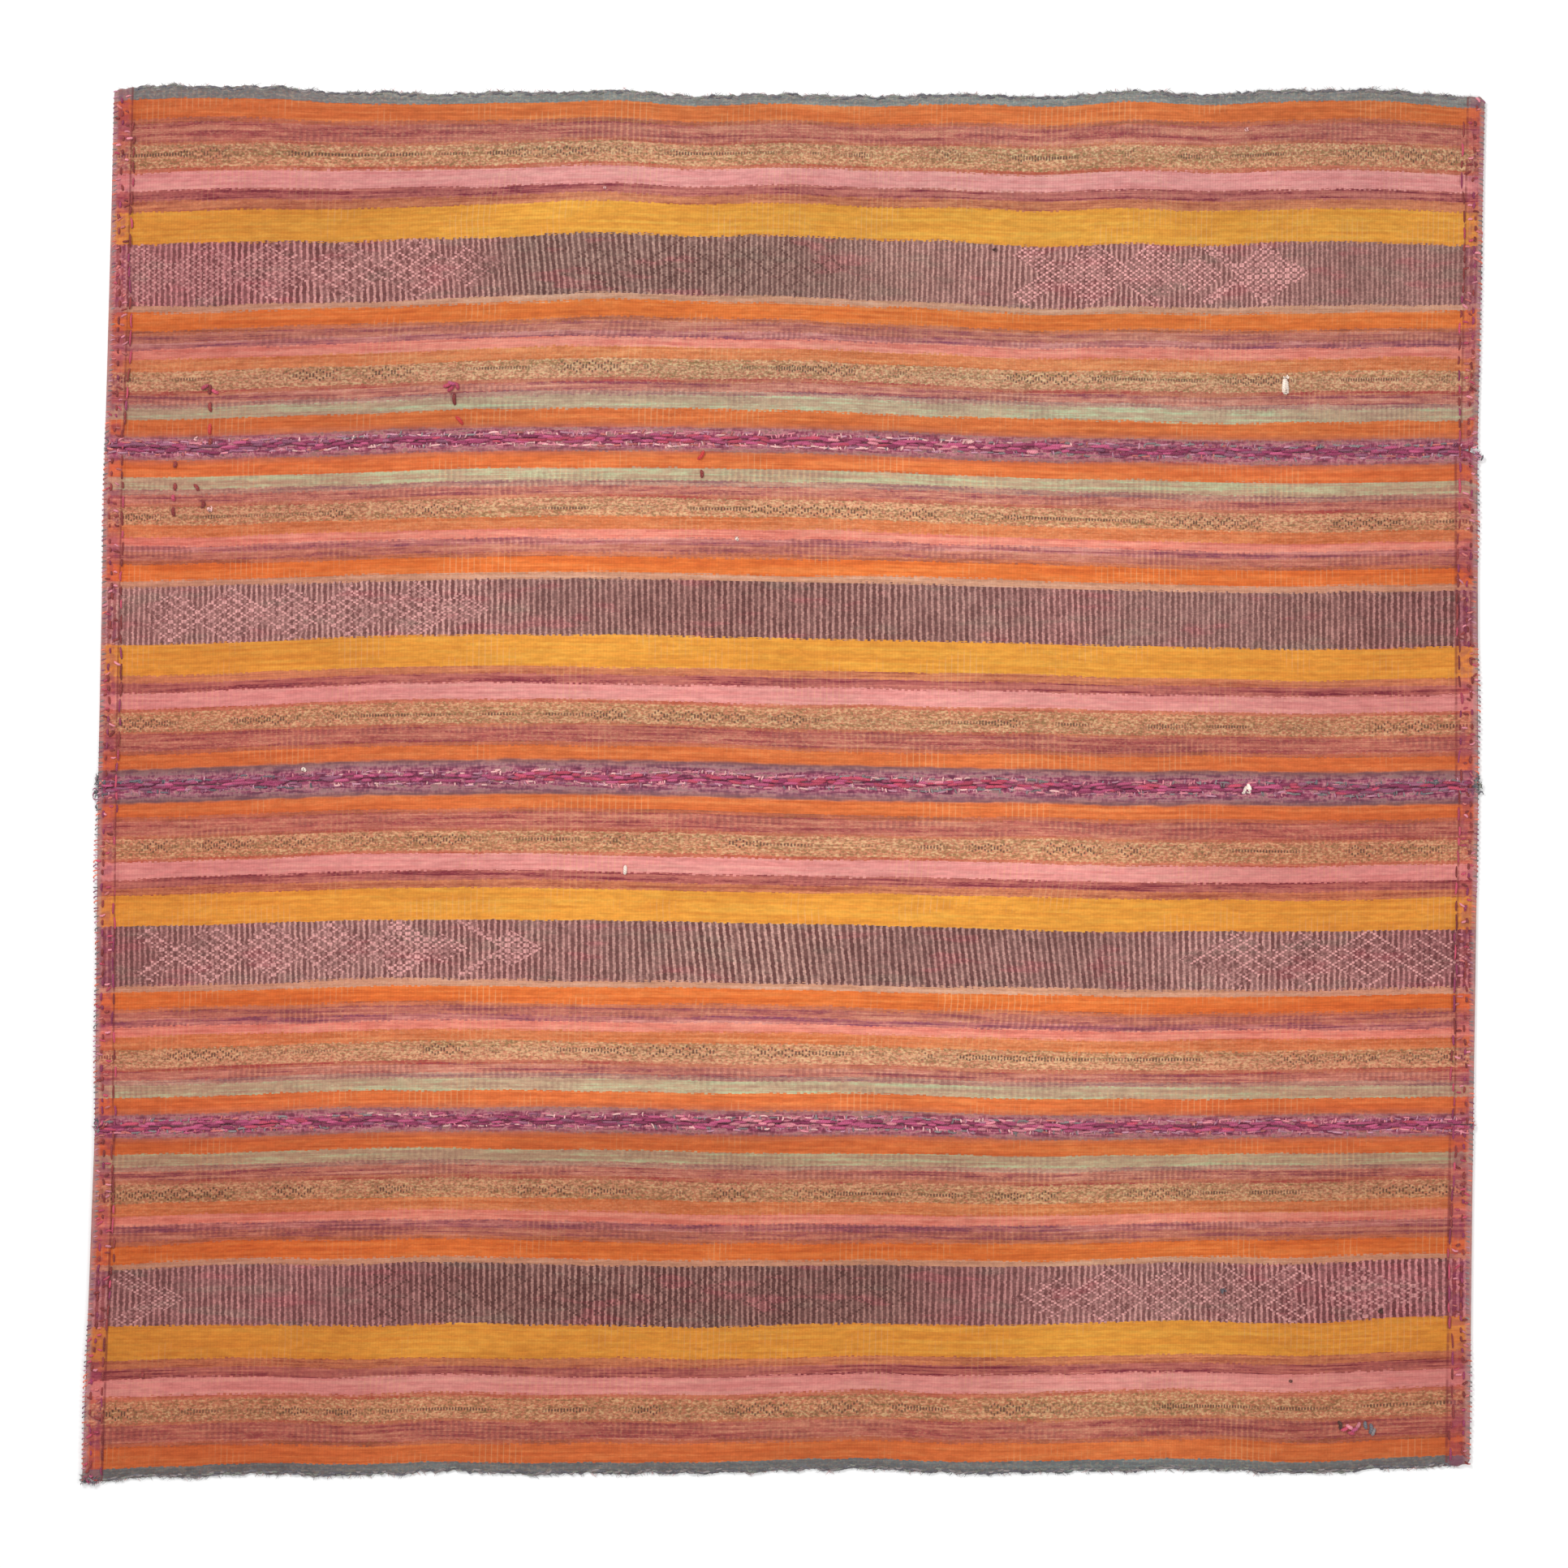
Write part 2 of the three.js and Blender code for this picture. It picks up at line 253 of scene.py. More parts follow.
# Yarns for sewing and mending, and the greys of the selvedges
YARNS = {
    "dark magenta": (140, 56, 88), "magenta": (176, 80, 114), "crimson": (182, 72, 94),
    "pink": (210, 130, 142), "pale pink": (226, 176, 172), "lilac": (184, 130, 148),
    "purple": (142, 84, 108), "grey": (132, 124, 124), "green grey": (124, 126, 118),
    "coral": (224, 116, 94), "red": (184, 58, 54), "white": (240, 222, 208), "maroon": (132, 56, 54),
    "slate": (100, 98, 104), "orange": (218, 118, 66), "rose": (192, 108, 104), "brown": (88, 58, 50),
}

# Yarns along each seam: x of a zone's start, the yarns of its middle strands, the yarns of its sides
SEAM_YARNS = {
    "seam1": [
        (-830, ("dark magenta", "purple", "magenta"), ("purple", "lilac", "rose", "pink")),
        (-560, ("dark magenta", "magenta", "purple"), ("lilac", "pale pink", "purple", "grey")),
        (-380, ("magenta", "crimson", "dark magenta"), ("pink", "lilac", "pale pink", "rose")),
        (40, ("magenta", "pink", "dark magenta"), ("pale pink", "lilac", "grey", "purple")),
        (300, ("dark magenta", "magenta", "purple"), ("purple", "grey", "lilac", "rose")),
    ],
    "seam2": [
        (-830, ("dark magenta", "purple", "magenta"), ("purple", "slate", "lilac", "purple")),
        (-560, ("magenta", "dark magenta", "purple"), ("lilac", "purple", "pale pink", "pink")),
        (-330, ("crimson", "magenta", "dark magenta"), ("pink", "lilac", "pale pink", "purple")),
        (60, ("crimson", "magenta", "pink"), ("pale pink", "grey", "lilac", "pink")),
        (300, ("dark magenta", "magenta", "crimson"), ("purple", "pink", "grey", "lilac")),
        (600, ("dark magenta", "purple", "crimson"), ("purple", "grey", "slate", "lilac")),
    ],
    "seam3": [
        (-830, ("dark magenta", "magenta", "crimson"), ("magenta", "rose", "grey", "pink")),
        (-500, ("dark magenta", "magenta", "purple"), ("pink", "purple", "pale pink", "magenta")),
        (-120, ("magenta", "pink", "dark magenta"), ("grey", "pink", "lilac", "pale pink")),
        (350, ("magenta", "dark magenta", "crimson"), ("pink", "lilac", "purple", "rose")),
    ],
}

# How dark the threads beside the middle seam are along it: x and what multiplies them
SEAM_SHADING = [(-800, 0.58), (-620, 0.75), (-420, 0.95), (-100, 1.0), (300, 1.0), (450, 0.84),
                (640, 0.68), (760, 0.66)]

# Mending stitches: x, y, length, angle from the x axis in degrees, and yarn
MENDS = [
    (-674, 460, 10, 30, "crimson"), (-668, 457, 12, 84, "maroon"), (-662, 455, 9, 150, "crimson"),
    (-667, 437, 12, 95, "maroon"), (-668, 411, 13, 88, "red"), (-667, 396, 9, 80, "maroon"),
    (-392, 462, 10, 20, "crimson"), (-386, 465, 10, 165, "magenta"), (-388, 458, 9, 40, "crimson"),
    (-381, 461, 9, 110, "crimson"), (-383, 446, 15, 92, "maroon"), (-378, 421, 13, 130, "red"),
    (-709, 370, 7, 80, "maroon"), (-709, 344, 8, 88, "maroon"), (-710, 331, 7, 100, "crimson"),
    (-710, 315, 11, 95, "maroon"), (-684, 343, 9, 125, "maroon"), (-678, 324, 10, 85, "maroon"),
    (-97, 381, 13, 55, "red"), (-96, 359, 9, 95, "maroon"), (-185, -102, 11, 86, "white"),
    (536, -9, 11, 60, "white"), (541, -6, 9, 110, "white"), (582, 463, 16, 84, "white"),
    (585, 462, 15, 100, "white"), (646, -748, 10, 100, "brown"), (652, -752, 9, 20, "crimson"),
    (658, -750, 9, 150, "pink"), (664, -754, 9, 30, "magenta"), (660, -757, 8, 170, "crimson"),
    (668, -748, 7, 60, "pink"), (677, -748, 9, 100, "slate"), (682, -752, 12, 85, "slate"),
    (686, -756, 9, 70, "grey"), (-746, -690, 7, 85, "maroon"),
]
MEND_RADIUS = 2.2

# Knots and burrs on the cloth: x, y, radius and yarn
KNOTS = [
    (538, 760, 2.6, "pale pink"), (583, 455, 5.0, "white"), (583, 463, 4.2, "white"),
    (584, 471, 3.6, "white"), (-55, 283, 3.0, "white"), (-558, 15, 3.4, "white"),
    (538, -10, 4.6, "white"), (-209, 692, 2.2, "pale pink"), (-684, 401, 3.6, "pale pink"),
    (-669, 318, 4.2, "pale pink"), (245, 620, 2.8, "brown"), (509, -592, 5.0, "slate"),
    (694, -615, 3.6, "brown"), (590, -697, 2.2, "brown"),
]
KNOT_STRANDS = 7


# Curves through the tables

def curve_through(places, values, at):
    """Smooth curve through values at rising places, read at each number in at."""
    places, values, at = (np.asarray(numbers, float) for numbers in (places, values, at))
    slopes = np.zeros_like(values)
    slopes[1:-1] = (values[2:] - values[:-2]) / (places[2:] - places[:-2])
    slopes[0] = (values[1] - values[0]) / (places[1] - places[0])
    slopes[-1] = (values[-1] - values[-2]) / (places[-1] - places[-2])
    row = np.clip(np.searchsorted(places, at) - 1, 0, len(places) - 2)
    span = places[row + 1] - places[row]
    t = np.clip((at - places[row]) / span, 0, 1)
    start = values[row] * (1 + 2 * t) * (1 - t) ** 2
    finish = values[row + 1] * t * t * (3 - 2 * t)
    bend = span * (slopes[row] * t * (1 - t) ** 2 - slopes[row + 1] * t * t * (1 - t))
    return start + finish + bend


def read_table(table, column, at):
    return curve_through([row[0] for row in table], [row[column] for row in table], at)


def long_edge(line, x):
    return read_table(LONG_EDGES, 1 + LINES.index(line), x)


def end_line(side, y):
    return read_table(ENDS, 1 if side == "left" else 2, y)


def waves(at, seed, wavelengths, heights):
    """Sum of sine waves with seeded phases: a gentle unevenness along a line."""
    rng = np.random.default_rng(seed)
    total = np.zeros_like(np.asarray(at, float))
    for wavelength, height in zip(wavelengths, heights):
        for _ in range(3):
            stretch = rng.uniform(0.75, 1.35)
            phase = rng.uniform(0, 2 * math.pi)
            total = total + height / 1.7 * np.sin(2 * math.pi * at / (wavelength * stretch) + phase)
    return total


def smooth_step(x, low, high):
    t = np.clip((x - low) / (high - low), 0, 1)
    return t * t * (3 - 2 * t)


# Places on the cloth

def half_opening(line, from_right):
    """Half the gap between the two strips of a seam."""
    if line not in SEAMS:
        return np.zeros_like(from_right)
    if line != OPEN_SEAM_LINE:
        return np.full_like(from_right, STRIP_GAP / 2)
    open_share = np.clip(1 - from_right / OPEN_SEAM_LENGTH, 0, 1)
    return (STRIP_GAP + OPEN_SEAM_WIDTH * open_share ** OPEN_SEAM_CURVE) / 2


def edge_place(line, share, side, length):
    """Points of a strip's long edge, at shares of the way from its left to its right end."""
    rough_x = end_line("left", 0) + (end_line("right", 0) - end_line("left", 0)) * share
    rough_y = long_edge(line, rough_x)
    left = end_line("left", rough_y)
    x = left + (end_line("right", rough_y) - left) * share
    return x, long_edge(line, x) + side * half_opening(line, length * (1 - share))


def strip_length(strip):
    middle = (long_edge(strip.upper, 0) + long_edge(strip.lower, 0)) / 2
    return float(end_line("right", middle) - end_line("left", middle))


def is_inner(strip):
    return strip.upper in SEAMS and strip.lower in SEAMS


def rug_middle():
    """Middle of the outline's box, which the frame's origin lies under."""
    share = np.linspace(0, 1, 800)
    places = [edge_place(line, share, 0, 1600.0) for line in LINES]
    xs = np.concatenate([x for x, _ in places])
    ys = np.concatenate([y for _, y in places])
    return (xs.min() + xs.max()) / 2, (ys.min() + ys.max()) / 2


MIDDLE_X, MIDDLE_Y = rug_middle()


def stripe_span(name):
    """First and last millimetre of a stripe, in the pattern's width."""
    widths = [stripe.width for stripe in STRIPES]
    number = [stripe.name for stripe in STRIPES].index(name)
    scale = PATTERN_WIDTH / sum(widths)
    return sum(widths[:number]) * scale, sum(widths[:number + 1]) * scale


LEAN_FADE = 40.0  # beside the barred stripe the wefts come back from their lean over this far


def lean_shift(index, x, pattern):
    """Sideways shift of the wefts, which lean in the barred stripe and come back beside it."""
    low, high = stripe_span("barred")
    off_middle = pattern - (low + high) / 2
    past = np.maximum(np.abs(off_middle) - (high - low) / 2, 0)
    down = -1 if STRIPS[index].turned else 1
    return read_table(LEANS, 1 + index, x) * off_middle * down * np.exp(-((past / LEAN_FADE) ** 2))


def drift_inwards(index, x, across):
    """How far a stripe has wandered towards the inner edge, between the tracks of the table."""
    total = np.zeros_like(x)
    for number in range(len(TRACKS)):
        drifts = [row[1 + index][number] for row in DRIFTS]
        nearness = np.eye(len(TRACKS) + 2)[number + 1]
        drift = curve_through([row[0] for row in DRIFTS], drifts, x)
        total = total + drift * np.interp(across, (0.0, *TRACKS, 1.0), nearness)
    for place, sizes in BULGES.items():
        total = total + sizes[index] * np.interp(np.abs(across - place), (0, BULGE_REACH), (1, 0))
    return total


def strip_places(index, share, across):
    """x and y on a strip, for shares along it and shares across it from its outer edge."""
    strip = STRIPS[index]
    length = strip_length(strip)
    upper = edge_place(strip.upper, share, -1, length)
    lower = edge_place(strip.lower, share, 1, length)
    outer, inner = (lower, upper) if strip.turned else (upper, lower)
    x = outer[0] + (inner[0] - outer[0]) * across
    y = outer[1] + (inner[1] - outer[1]) * across
    y = y + drift_inwards(index, x, across) * (1 if strip.turned else -1)
    inside = smooth_step(np.minimum(share, 1 - share) * length, 0, 60)
    x = x + lean_shift(index, x, across * PATTERN_WIDTH) * inside
    return x - MIDDLE_X, y - MIDDLE_Y


def weft_numbers(index):
    """Distances along a strip and the weft number at each."""
    length = strip_length(STRIPS[index])
    distance = np.linspace(0, length, 1500)
    spacing = read_table(WEFTS, 1 + index, distance - length / 2)
    number = np.concatenate([[0.0], np.cumsum(2 / (spacing[1:] + spacing[:-1]) * np.diff(distance))])
    return distance, number * round(number[-1]) / number[-1]


def weft_at(index, x):
    """Number of the weft at a place along the rug."""
    return float(np.interp(x + strip_length(STRIPS[index]) / 2, *weft_numbers(index)))


# Relief of the cloth: low waves and the ridges of old storage folds

FOLD_PLACES = (-98.0, 262.0, 560.0)
FOLD_HALF_WIDTH = 9.0
FOLD_HEIGHT = 0.7
WAVE_HEIGHT = 0.55
RIB_HEIGHT = 0.2


def lift(x, y):
    """How far the cloth stands off the floor."""
    broad = waves(x + 0.35 * y, 11, (430, 240), (0.6, 0.4)) * waves(y - 0.2 * x, 12, (520, 300), (0.6, 0.4))
    height = WAVE_HEIGHT * np.clip(0.5 + broad, 0, 1.6)
    for number, place in enumerate(FOLD_PLACES):
        course = place + waves(y, 20 + number, (600, 150), (5, 1.5))
        height = height + FOLD_HEIGHT * np.exp(-(((x - course) / FOLD_HALF_WIDTH) ** 2))
    return height


def cloth_faces(from_end, from_selvedge):
    """Height of the lower and upper face, without lift: flat, and rounded over at every edge."""
    down = smooth_step(from_end, HEM_WIDTH, HEM_WIDTH + HEM_SLOPE)
    thickness = HEM_THICKNESS + (CLOTH_THICKNESS - HEM_THICKNESS) * down
    radius = thickness / 2
    inward = np.clip(np.minimum(from_end, from_selvedge), 0, radius)
    half = np.sqrt(radius ** 2 - (radius - inward) ** 2)
    return radius - half, radius + half


def on_cloth(x, y):
    """Frame place and height of the cloth's upper face at a place of the outline tables."""
    from_end = np.minimum(x - end_line("left", y), end_line("right", y) - x)
    _, top = cloth_faces(np.maximum(from_end, 3.0), 50.0)
    return x - MIDDLE_X, y - MIDDLE_Y, top + lift(x - MIDDLE_X, y - MIDDLE_Y)


# Meshes from arrays

def new_object(name, points, *faces):
    """A smooth mesh object from points in millimetres and rows of corner numbers."""
    corners = np.concatenate([part.ravel() for part in faces])
    sizes = np.concatenate([np.full(len(part), part.shape[1]) for part in faces])
    starts = np.concatenate([[0], np.cumsum(sizes)[:-1]])
    mesh = bpy.data.meshes.new(name)
    mesh.vertices.add(len(points))
    mesh.vertices.foreach_set("co", (np.asarray(points, float) * MM).astype(np.float32).ravel())
    mesh.loops.add(len(corners))
    mesh.loops.foreach_set("vertex_index", corners.astype(np.int32))
    mesh.polygons.add(len(starts))
    mesh.polygons.foreach_set("loop_start", starts.astype(np.int32))
    mesh.polygons.foreach_set("use_smooth", np.full(len(starts), True))
    mesh.update(calc_edges=True)
    mesh.validate()
    obj = bpy.data.objects.new(name, mesh)
    bpy.context.scene.collection.objects.link(obj)
    return obj


def set_uv(obj, name, uv_of_corners):
    layer = obj.data.uv_layers.new(name=name)
    layer.data.foreach_set("uv", np.asarray(uv_of_corners, np.float32).ravel())


def grid_quads(first, columns, rows):
    """Quads of a grid whose points are numbered down each column in turn."""
    c, r = np.meshgrid(np.arange(columns - 1), np.arange(rows - 1), indexing="ij")
    a = first + c * rows + r
    return np.stack([a, a + rows, a + rows + 1, a + 1], axis=-1).reshape(-1, 4)


def zipper(first, second, first_places, second_places):
    """Triangles between two rows of points that run side by side."""
    triangles = []
    i = 0
    j = 0
    while i < len(first) - 1 or j < len(second) - 1:
        can_second = j < len(second) - 1
        if i < len(first) - 1 and (not can_second or first_places[i + 1] <= second_places[j + 1]):
            triangles.append((first[i], first[i + 1], second[j]))
            i += 1
        else:
            triangles.append((first[i], second[j + 1], second[j]))
            j += 1
    return np.array(triangles)


# The woven strips

COLUMNS_PER_WEFT = 4
TOP_ROWS = 28
UNDER_ROWS = 5
EDGE_INSETS = (0.08, 0.5, 1.3, 2.6, 6.0)  # from a selvedge to the first rows of points
END_INSETS = (0.08, 0.5, 1.2, 2.0)  # from a folded end to the first columns of points
SELVEDGE_PULL = 2.0  # how far the outer selvedges lie inside their lines, on the whole
WAVER_REACH = 7.0  # how far into the cloth a wavering selvedge pulls its threads along
CORNER_DROP = 4.0  # how far the rug's rounded corners fall short


def row_shares(rows, width):
    """Shares across a strip: close together at both selvedges and even between them."""
    near = np.array(EDGE_INSETS) / width
    inner_count = rows - 2 * len(near)
    if inner_count < 0:
        return np.concatenate([near[:1], np.linspace(0, 1, rows)[1:-1], 1 - near[:1]])
    inner = np.linspace(near[-1], 1 - near[-1], inner_count + 2)[1:-1]
    return np.concatenate([near, inner, 1 - near[::-1]])


def selvedge_waver(index, weft, distance):
    """How far the outermost threads stand out: wavy at the rug's edge, tight along a seam."""
    strip = STRIPS[index]
    if is_inner(strip):
        return 0.08 * np.sin(math.pi * weft)
    loops = 0.4 * np.abs(np.sin(math.pi * weft / 2))
    from_corner = np.minimum(distance, strip_length(strip) - distance)
    rounding = CORNER_DROP * np.exp(-((from_corner / CORNER_DROP) ** 2))
    uneven = waves(distance, 40 + index, (110, 38, 14), (1.0, 0.8, 0.5))
    return loops + uneven - SELVEDGE_PULL - rounding


def face_points(index, distances, wefts, shares, width, is_upper):
    """Points and weave places of a strip's upper or lower face, column by column."""
    strip = STRIPS[index]
    length = strip_length(strip)
    distance, across = np.meshgrid(distances, shares, indexing="ij")
    weft = np.broadcast_to(wefts[:, None], distance.shape)
    x, y = strip_places(index, distance / length, across)
    outwards = (-1 if strip.turned else 1) * selvedge_waver(index, wefts, distances)[:, None]
    y = y + outwards * np.exp(-across * width / WAVER_REACH)
    from_end = np.minimum(distance, length - distance)
    from_selvedge = np.minimum(across, 1 - across) * width
    z = cloth_faces(from_end, from_selvedge)[1 if is_upper else 0]
    if is_upper:
        fade = smooth_step(np.minimum(from_end, from_selvedge), 0.4, 2.2)
        z = z - RIB_HEIGHT / 2 * np.cos(2 * math.pi * weft) * fade
        z = z + 0.12 * waves(y * 3 + distance * 0.6, 60 + index, (37, 23), (0.5, 0.4)) * fade
    weave = np.stack([weft, across * PATTERN_WIDTH / WARP], axis=-1)
    return np.stack([x, y, z + lift(x, y)], axis=-1).reshape(-1, 3), weave.reshape(-1, 2)


def make_strip(index):
    """One woven strip: ribbed upper face, plain underside, joined all round."""
    strip = STRIPS[index]
    length = strip_length(strip)
    width = float(long_edge(strip.upper, 0) - long_edge(strip.lower, 0))
    known_distance, known_weft = weft_numbers(index)
    last_column = (round(known_weft[-1]) - 1) * COLUMNS_PER_WEFT
    regular = np.arange(COLUMNS_PER_WEFT, last_column + 1) / COLUMNS_PER_WEFT
    ends = np.array(END_INSETS)
    distances = np.concatenate([ends, np.interp(regular, known_weft, known_distance), length - ends[::-1]])
    wefts = np.interp(distances, known_distance, known_weft)
    columns = len(distances)
    top_shares = row_shares(TOP_ROWS, width)
    under_shares = row_shares(UNDER_ROWS, width)
    top_points, top_weave = face_points(index, distances, wefts, top_shares, width, True)
    under_points, under_weave = face_points(index, distances, wefts, under_shares, width, False)

    def facing(faces, is_turned):
        """Faces with their corners turned the other way round where that is needed."""
        return faces[:, ::-1] if is_turned else faces

    def point_numbers(column, top_row, under_row):
        top = column * TOP_ROWS + top_row
        return top, len(top_points) + column * UNDER_ROWS + under_row

    quads = [
        facing(grid_quads(0, columns, TOP_ROWS), not strip.turned),
        facing(grid_quads(len(top_points), columns, UNDER_ROWS), strip.turned),
    ]
    long_sides = ((0, 0, strip.turned), (TOP_ROWS - 1, UNDER_ROWS - 1, not strip.turned))
    for top_row, under_row, is_turned in long_sides:
        top, under = point_numbers(np.arange(columns), top_row, under_row)
        wall = np.stack([top[:-1], top[1:], under[1:], under[:-1]], axis=-1)
        quads.append(facing(wall, is_turned))
    triangles = []
    for column, is_turned in ((0, not strip.turned), (columns - 1, strip.turned)):
        top, under = point_numbers(column, np.arange(TOP_ROWS), np.arange(UNDER_ROWS))
        triangles.append(facing(zipper(top, under, top_shares, under_shares), is_turned))
    quads = np.concatenate(quads)
    triangles = np.concatenate(triangles)
    points = np.concatenate([top_points, under_points])
    obj = new_object(f"kilim_strip_{index + 1}", points, quads, triangles)
    weave = np.concatenate([top_weave, under_weave])
    set_uv(obj, "Weave", weave[np.concatenate([quads.ravel(), triangles.ravel()])])
    obj.data.materials.append(weave_material(index))
    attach(obj, "root")
    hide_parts(f"woven_strip_{index + 1}")


# Node graphs

def arithmetic(operation, is_turned=False):
    """A method that adds one math node, on a value and perhaps another one."""
    def method(value, *others):
        values = (*others, value) if is_turned else (value, *others)
        return value.graph.math(operation, *values)
    return method


class Value:
    """An output of a node. Arithmetic with it adds math nodes to its graph."""

    def __init__(self, graph, socket):
        self.graph = graph
        self.socket = socket

    __add__ = arithmetic("ADD")
    __sub__ = arithmetic("SUBTRACT")
    __rsub__ = arithmetic("SUBTRACT", is_turned=True)
    __mul__ = arithmetic("MULTIPLY")
    __mod__ = arithmetic("FLOORED_MODULO")
    __gt__ = arithmetic("GREATER_THAN")
    __lt__ = arithmetic("LESS_THAN")
    __abs__ = arithmetic("ABSOLUTE")
    __floor__ = arithmetic("FLOOR")


class Graph:
    """Short names for the shader nodes of one material."""

    def __init__(self, name):
        self.material = bpy.data.materials.new(name)
        self.material.use_nodes = True
        self.nodes = self.material.node_tree.nodes
        self.nodes.clear()

    def feed(self, socket, value):
        if isinstance(value, Value):
            self.material.node_tree.links.new(value.socket, socket)
        else:
            socket.default_value = value

    def node(self, kind, inputs, output=0, **settings):
        """Adds a node, feeds its inputs by name or number, and gives one of its outputs."""
        made = self.nodes.new(kind)
        for key, value in settings.items():
            setattr(made, key, value)
        for key, value in inputs.items():
            self.feed(made.inputs[key], value)
        return Value(self, made.outputs[output])

    def math(self, operation, *values, clamp=False):
        return self.node("ShaderNodeMath", dict(enumerate(values)), operation=operation, use_clamp=clamp)

    def off_centre(self, value):
        """Distance of a value from the middle of its unit cell, 0 to 0.5."""
        return abs(self.math("FRACT", value) - 0.5)

    def range(self, value, low, high, to_low=0.0, to_high=1.0):
        """value taken from the range low to high into another range, smoothly and clamped."""
        inputs = dict(enumerate((value, low, high, to_low, to_high)))
        return self.node("ShaderNodeMapRange", inputs, interpolation_type="SMOOTHSTEP", clamp=True)

    def vector(self, x, y, z):
        return self.node("ShaderNodeCombineXYZ", {0: x, 1: y, 2: z})

    def parts(self, kind, value):
        """The three numbers of a vector or a colour."""
        split = self.node(kind, {0: value}).socket.node
        return [Value(self, socket) for socket in split.outputs]

    def uv(self, name):
        return self.parts("ShaderNodeSeparateXYZ", self.node("ShaderNodeUVMap", {}, uv_map=name))[:2]

    def noise(self, x, y, seed, detail=2.0, roughness=0.5):
        inputs = {"Vector": self.vector(x, y, seed), "Scale": 1.0, "Detail": detail, "Roughness": roughness}
        return self.node("ShaderNodeTexNoise", inputs, "Fac", noise_dimensions="3D")

    def white(self, x, y, seed):
        """A random number for every place."""
        inputs = {"Vector": self.vector(x, y, seed)}
        return self.node("ShaderNodeTexWhiteNoise", inputs, "Value", noise_dimensions="3D")

    def mix(self, share, a, b, blend="MIX"):
        return self.node("ShaderNodeMix", {0: share, 6: a, 7: b}, 2, data_type="RGBA", blend_type=blend)

    def tint(self, colour, by):
        return self.mix(1.0, colour, by, "MULTIPLY")

    def ramp(self, value, stops, interpolation="LINEAR"):
        made = self.node("ShaderNodeValToRGB", {0: value})
        ramp = made.socket.node.color_ramp
        ramp.interpolation = interpolation
        while len(ramp.elements) < len(stops):
            ramp.elements.new(0.5)
        for element, (position, colour) in zip(ramp.elements, stops):
            element.position = position
            element.color = colour
        return made

    def close(self, shader):
        self.feed(self.nodes.new("ShaderNodeOutputMaterial").inputs[0], shader)
        return self.material

    def wool(self, colour, height, bump_distance, sheen=0.06):
        """The closing shader of every yarn and cloth: matte wool."""
        bump = {"Strength": 1.0, "Distance": bump_distance * MM, "Height": height}
        return self.close(self.node("ShaderNodeBsdfPrincipled", {
            "Base Color": colour,
            "Normal": self.node("ShaderNodeBump", bump),
            "Roughness": self.range(height, 0.0, 1.0, 0.97, 0.86),
            "Specular IOR Level": 0.15,
            "Sheen Weight": sheen,
            "Sheen Roughness": 0.5,
        }))


def paint(red, green, blue):
    """Colour from its 0 to 255 values on screen."""
    def linear(value):
        share = value / 255
        return share / 12.92 if share <= 0.04045 else ((share + 0.055) / 1.055) ** 2.4
    return (linear(red), linear(green), linear(blue), 1.0)


# The striped weave

class Cloth(Graph):
    """The graph of one strip's weave, with the numbers of its wefts and warps at every place."""

    def __init__(self, index):
        super().__init__(f"striped_wool_{index + 1}")
        self.index = index
        self.strip = STRIPS[index]
        self.seed = 10.0 * index + 3.37
        self.weft, self.warp = self.uv("Weave")
        self.across = self.warp * WARP
        self.weft_total = float(round(weft_numbers(index)[1][-1]))
        self.along = self.weft * (1 / self.weft_total)
        self.parity = floor(self.weft) % 2.0

    def grain(self, along, across, seed, detail=2.0, roughness=0.5):
        """Noise by its scale along and across the threads."""
        places = self.weft * along, self.warp * across
        return self.noise(*places, self.seed + seed, detail, roughness)

    def ramp_along(self, rows):
        """A ramp along the strip's wefts, from rows of x and a colour or one number."""
        total = weft_numbers(self.index)[1][-1]
        stops = [(weft_at(self.index, x) / total, as_colour(value)) for x, value in rows]
        return self.ramp(self.along, stops)

    def thread_place(self):
        """Share across the strip of the thread that shows. Threads wander and mingle at stripes' edges."""
        drift = self.grain(0.022, 0.03, 0) - 0.5
        shuffle = self.white(floor(self.warp), 1.0, self.seed) - 0.5
        mingled = self.white(floor(self.weft), floor(self.warp), self.seed + 0.5) - 0.5
        thread = self.warp + drift * 7.0 + (self.parity - 0.5) * 0.6
        thread = floor(thread + shuffle * 1.4 + mingled * 1.5)
        return thread, self.math("DIVIDE", thread * WARP, PATTERN_WIDTH, clamp=True)

    def by_stripe(self, place, value_of):
        """A colour, or three numbers in one, that each stripe has of its own."""
        starts = [stripe_span(stripe.name)[0] / PATTERN_WIDTH for stripe in STRIPES]
        stops = [(start, value_of(stripe)) for start, stripe in zip(starts, STRIPES)]
        return self.ramp(place, stops, "CONSTANT")


def as_colour(value):
    return (value,) * 3 + (1.0,) if isinstance(value, float) else value


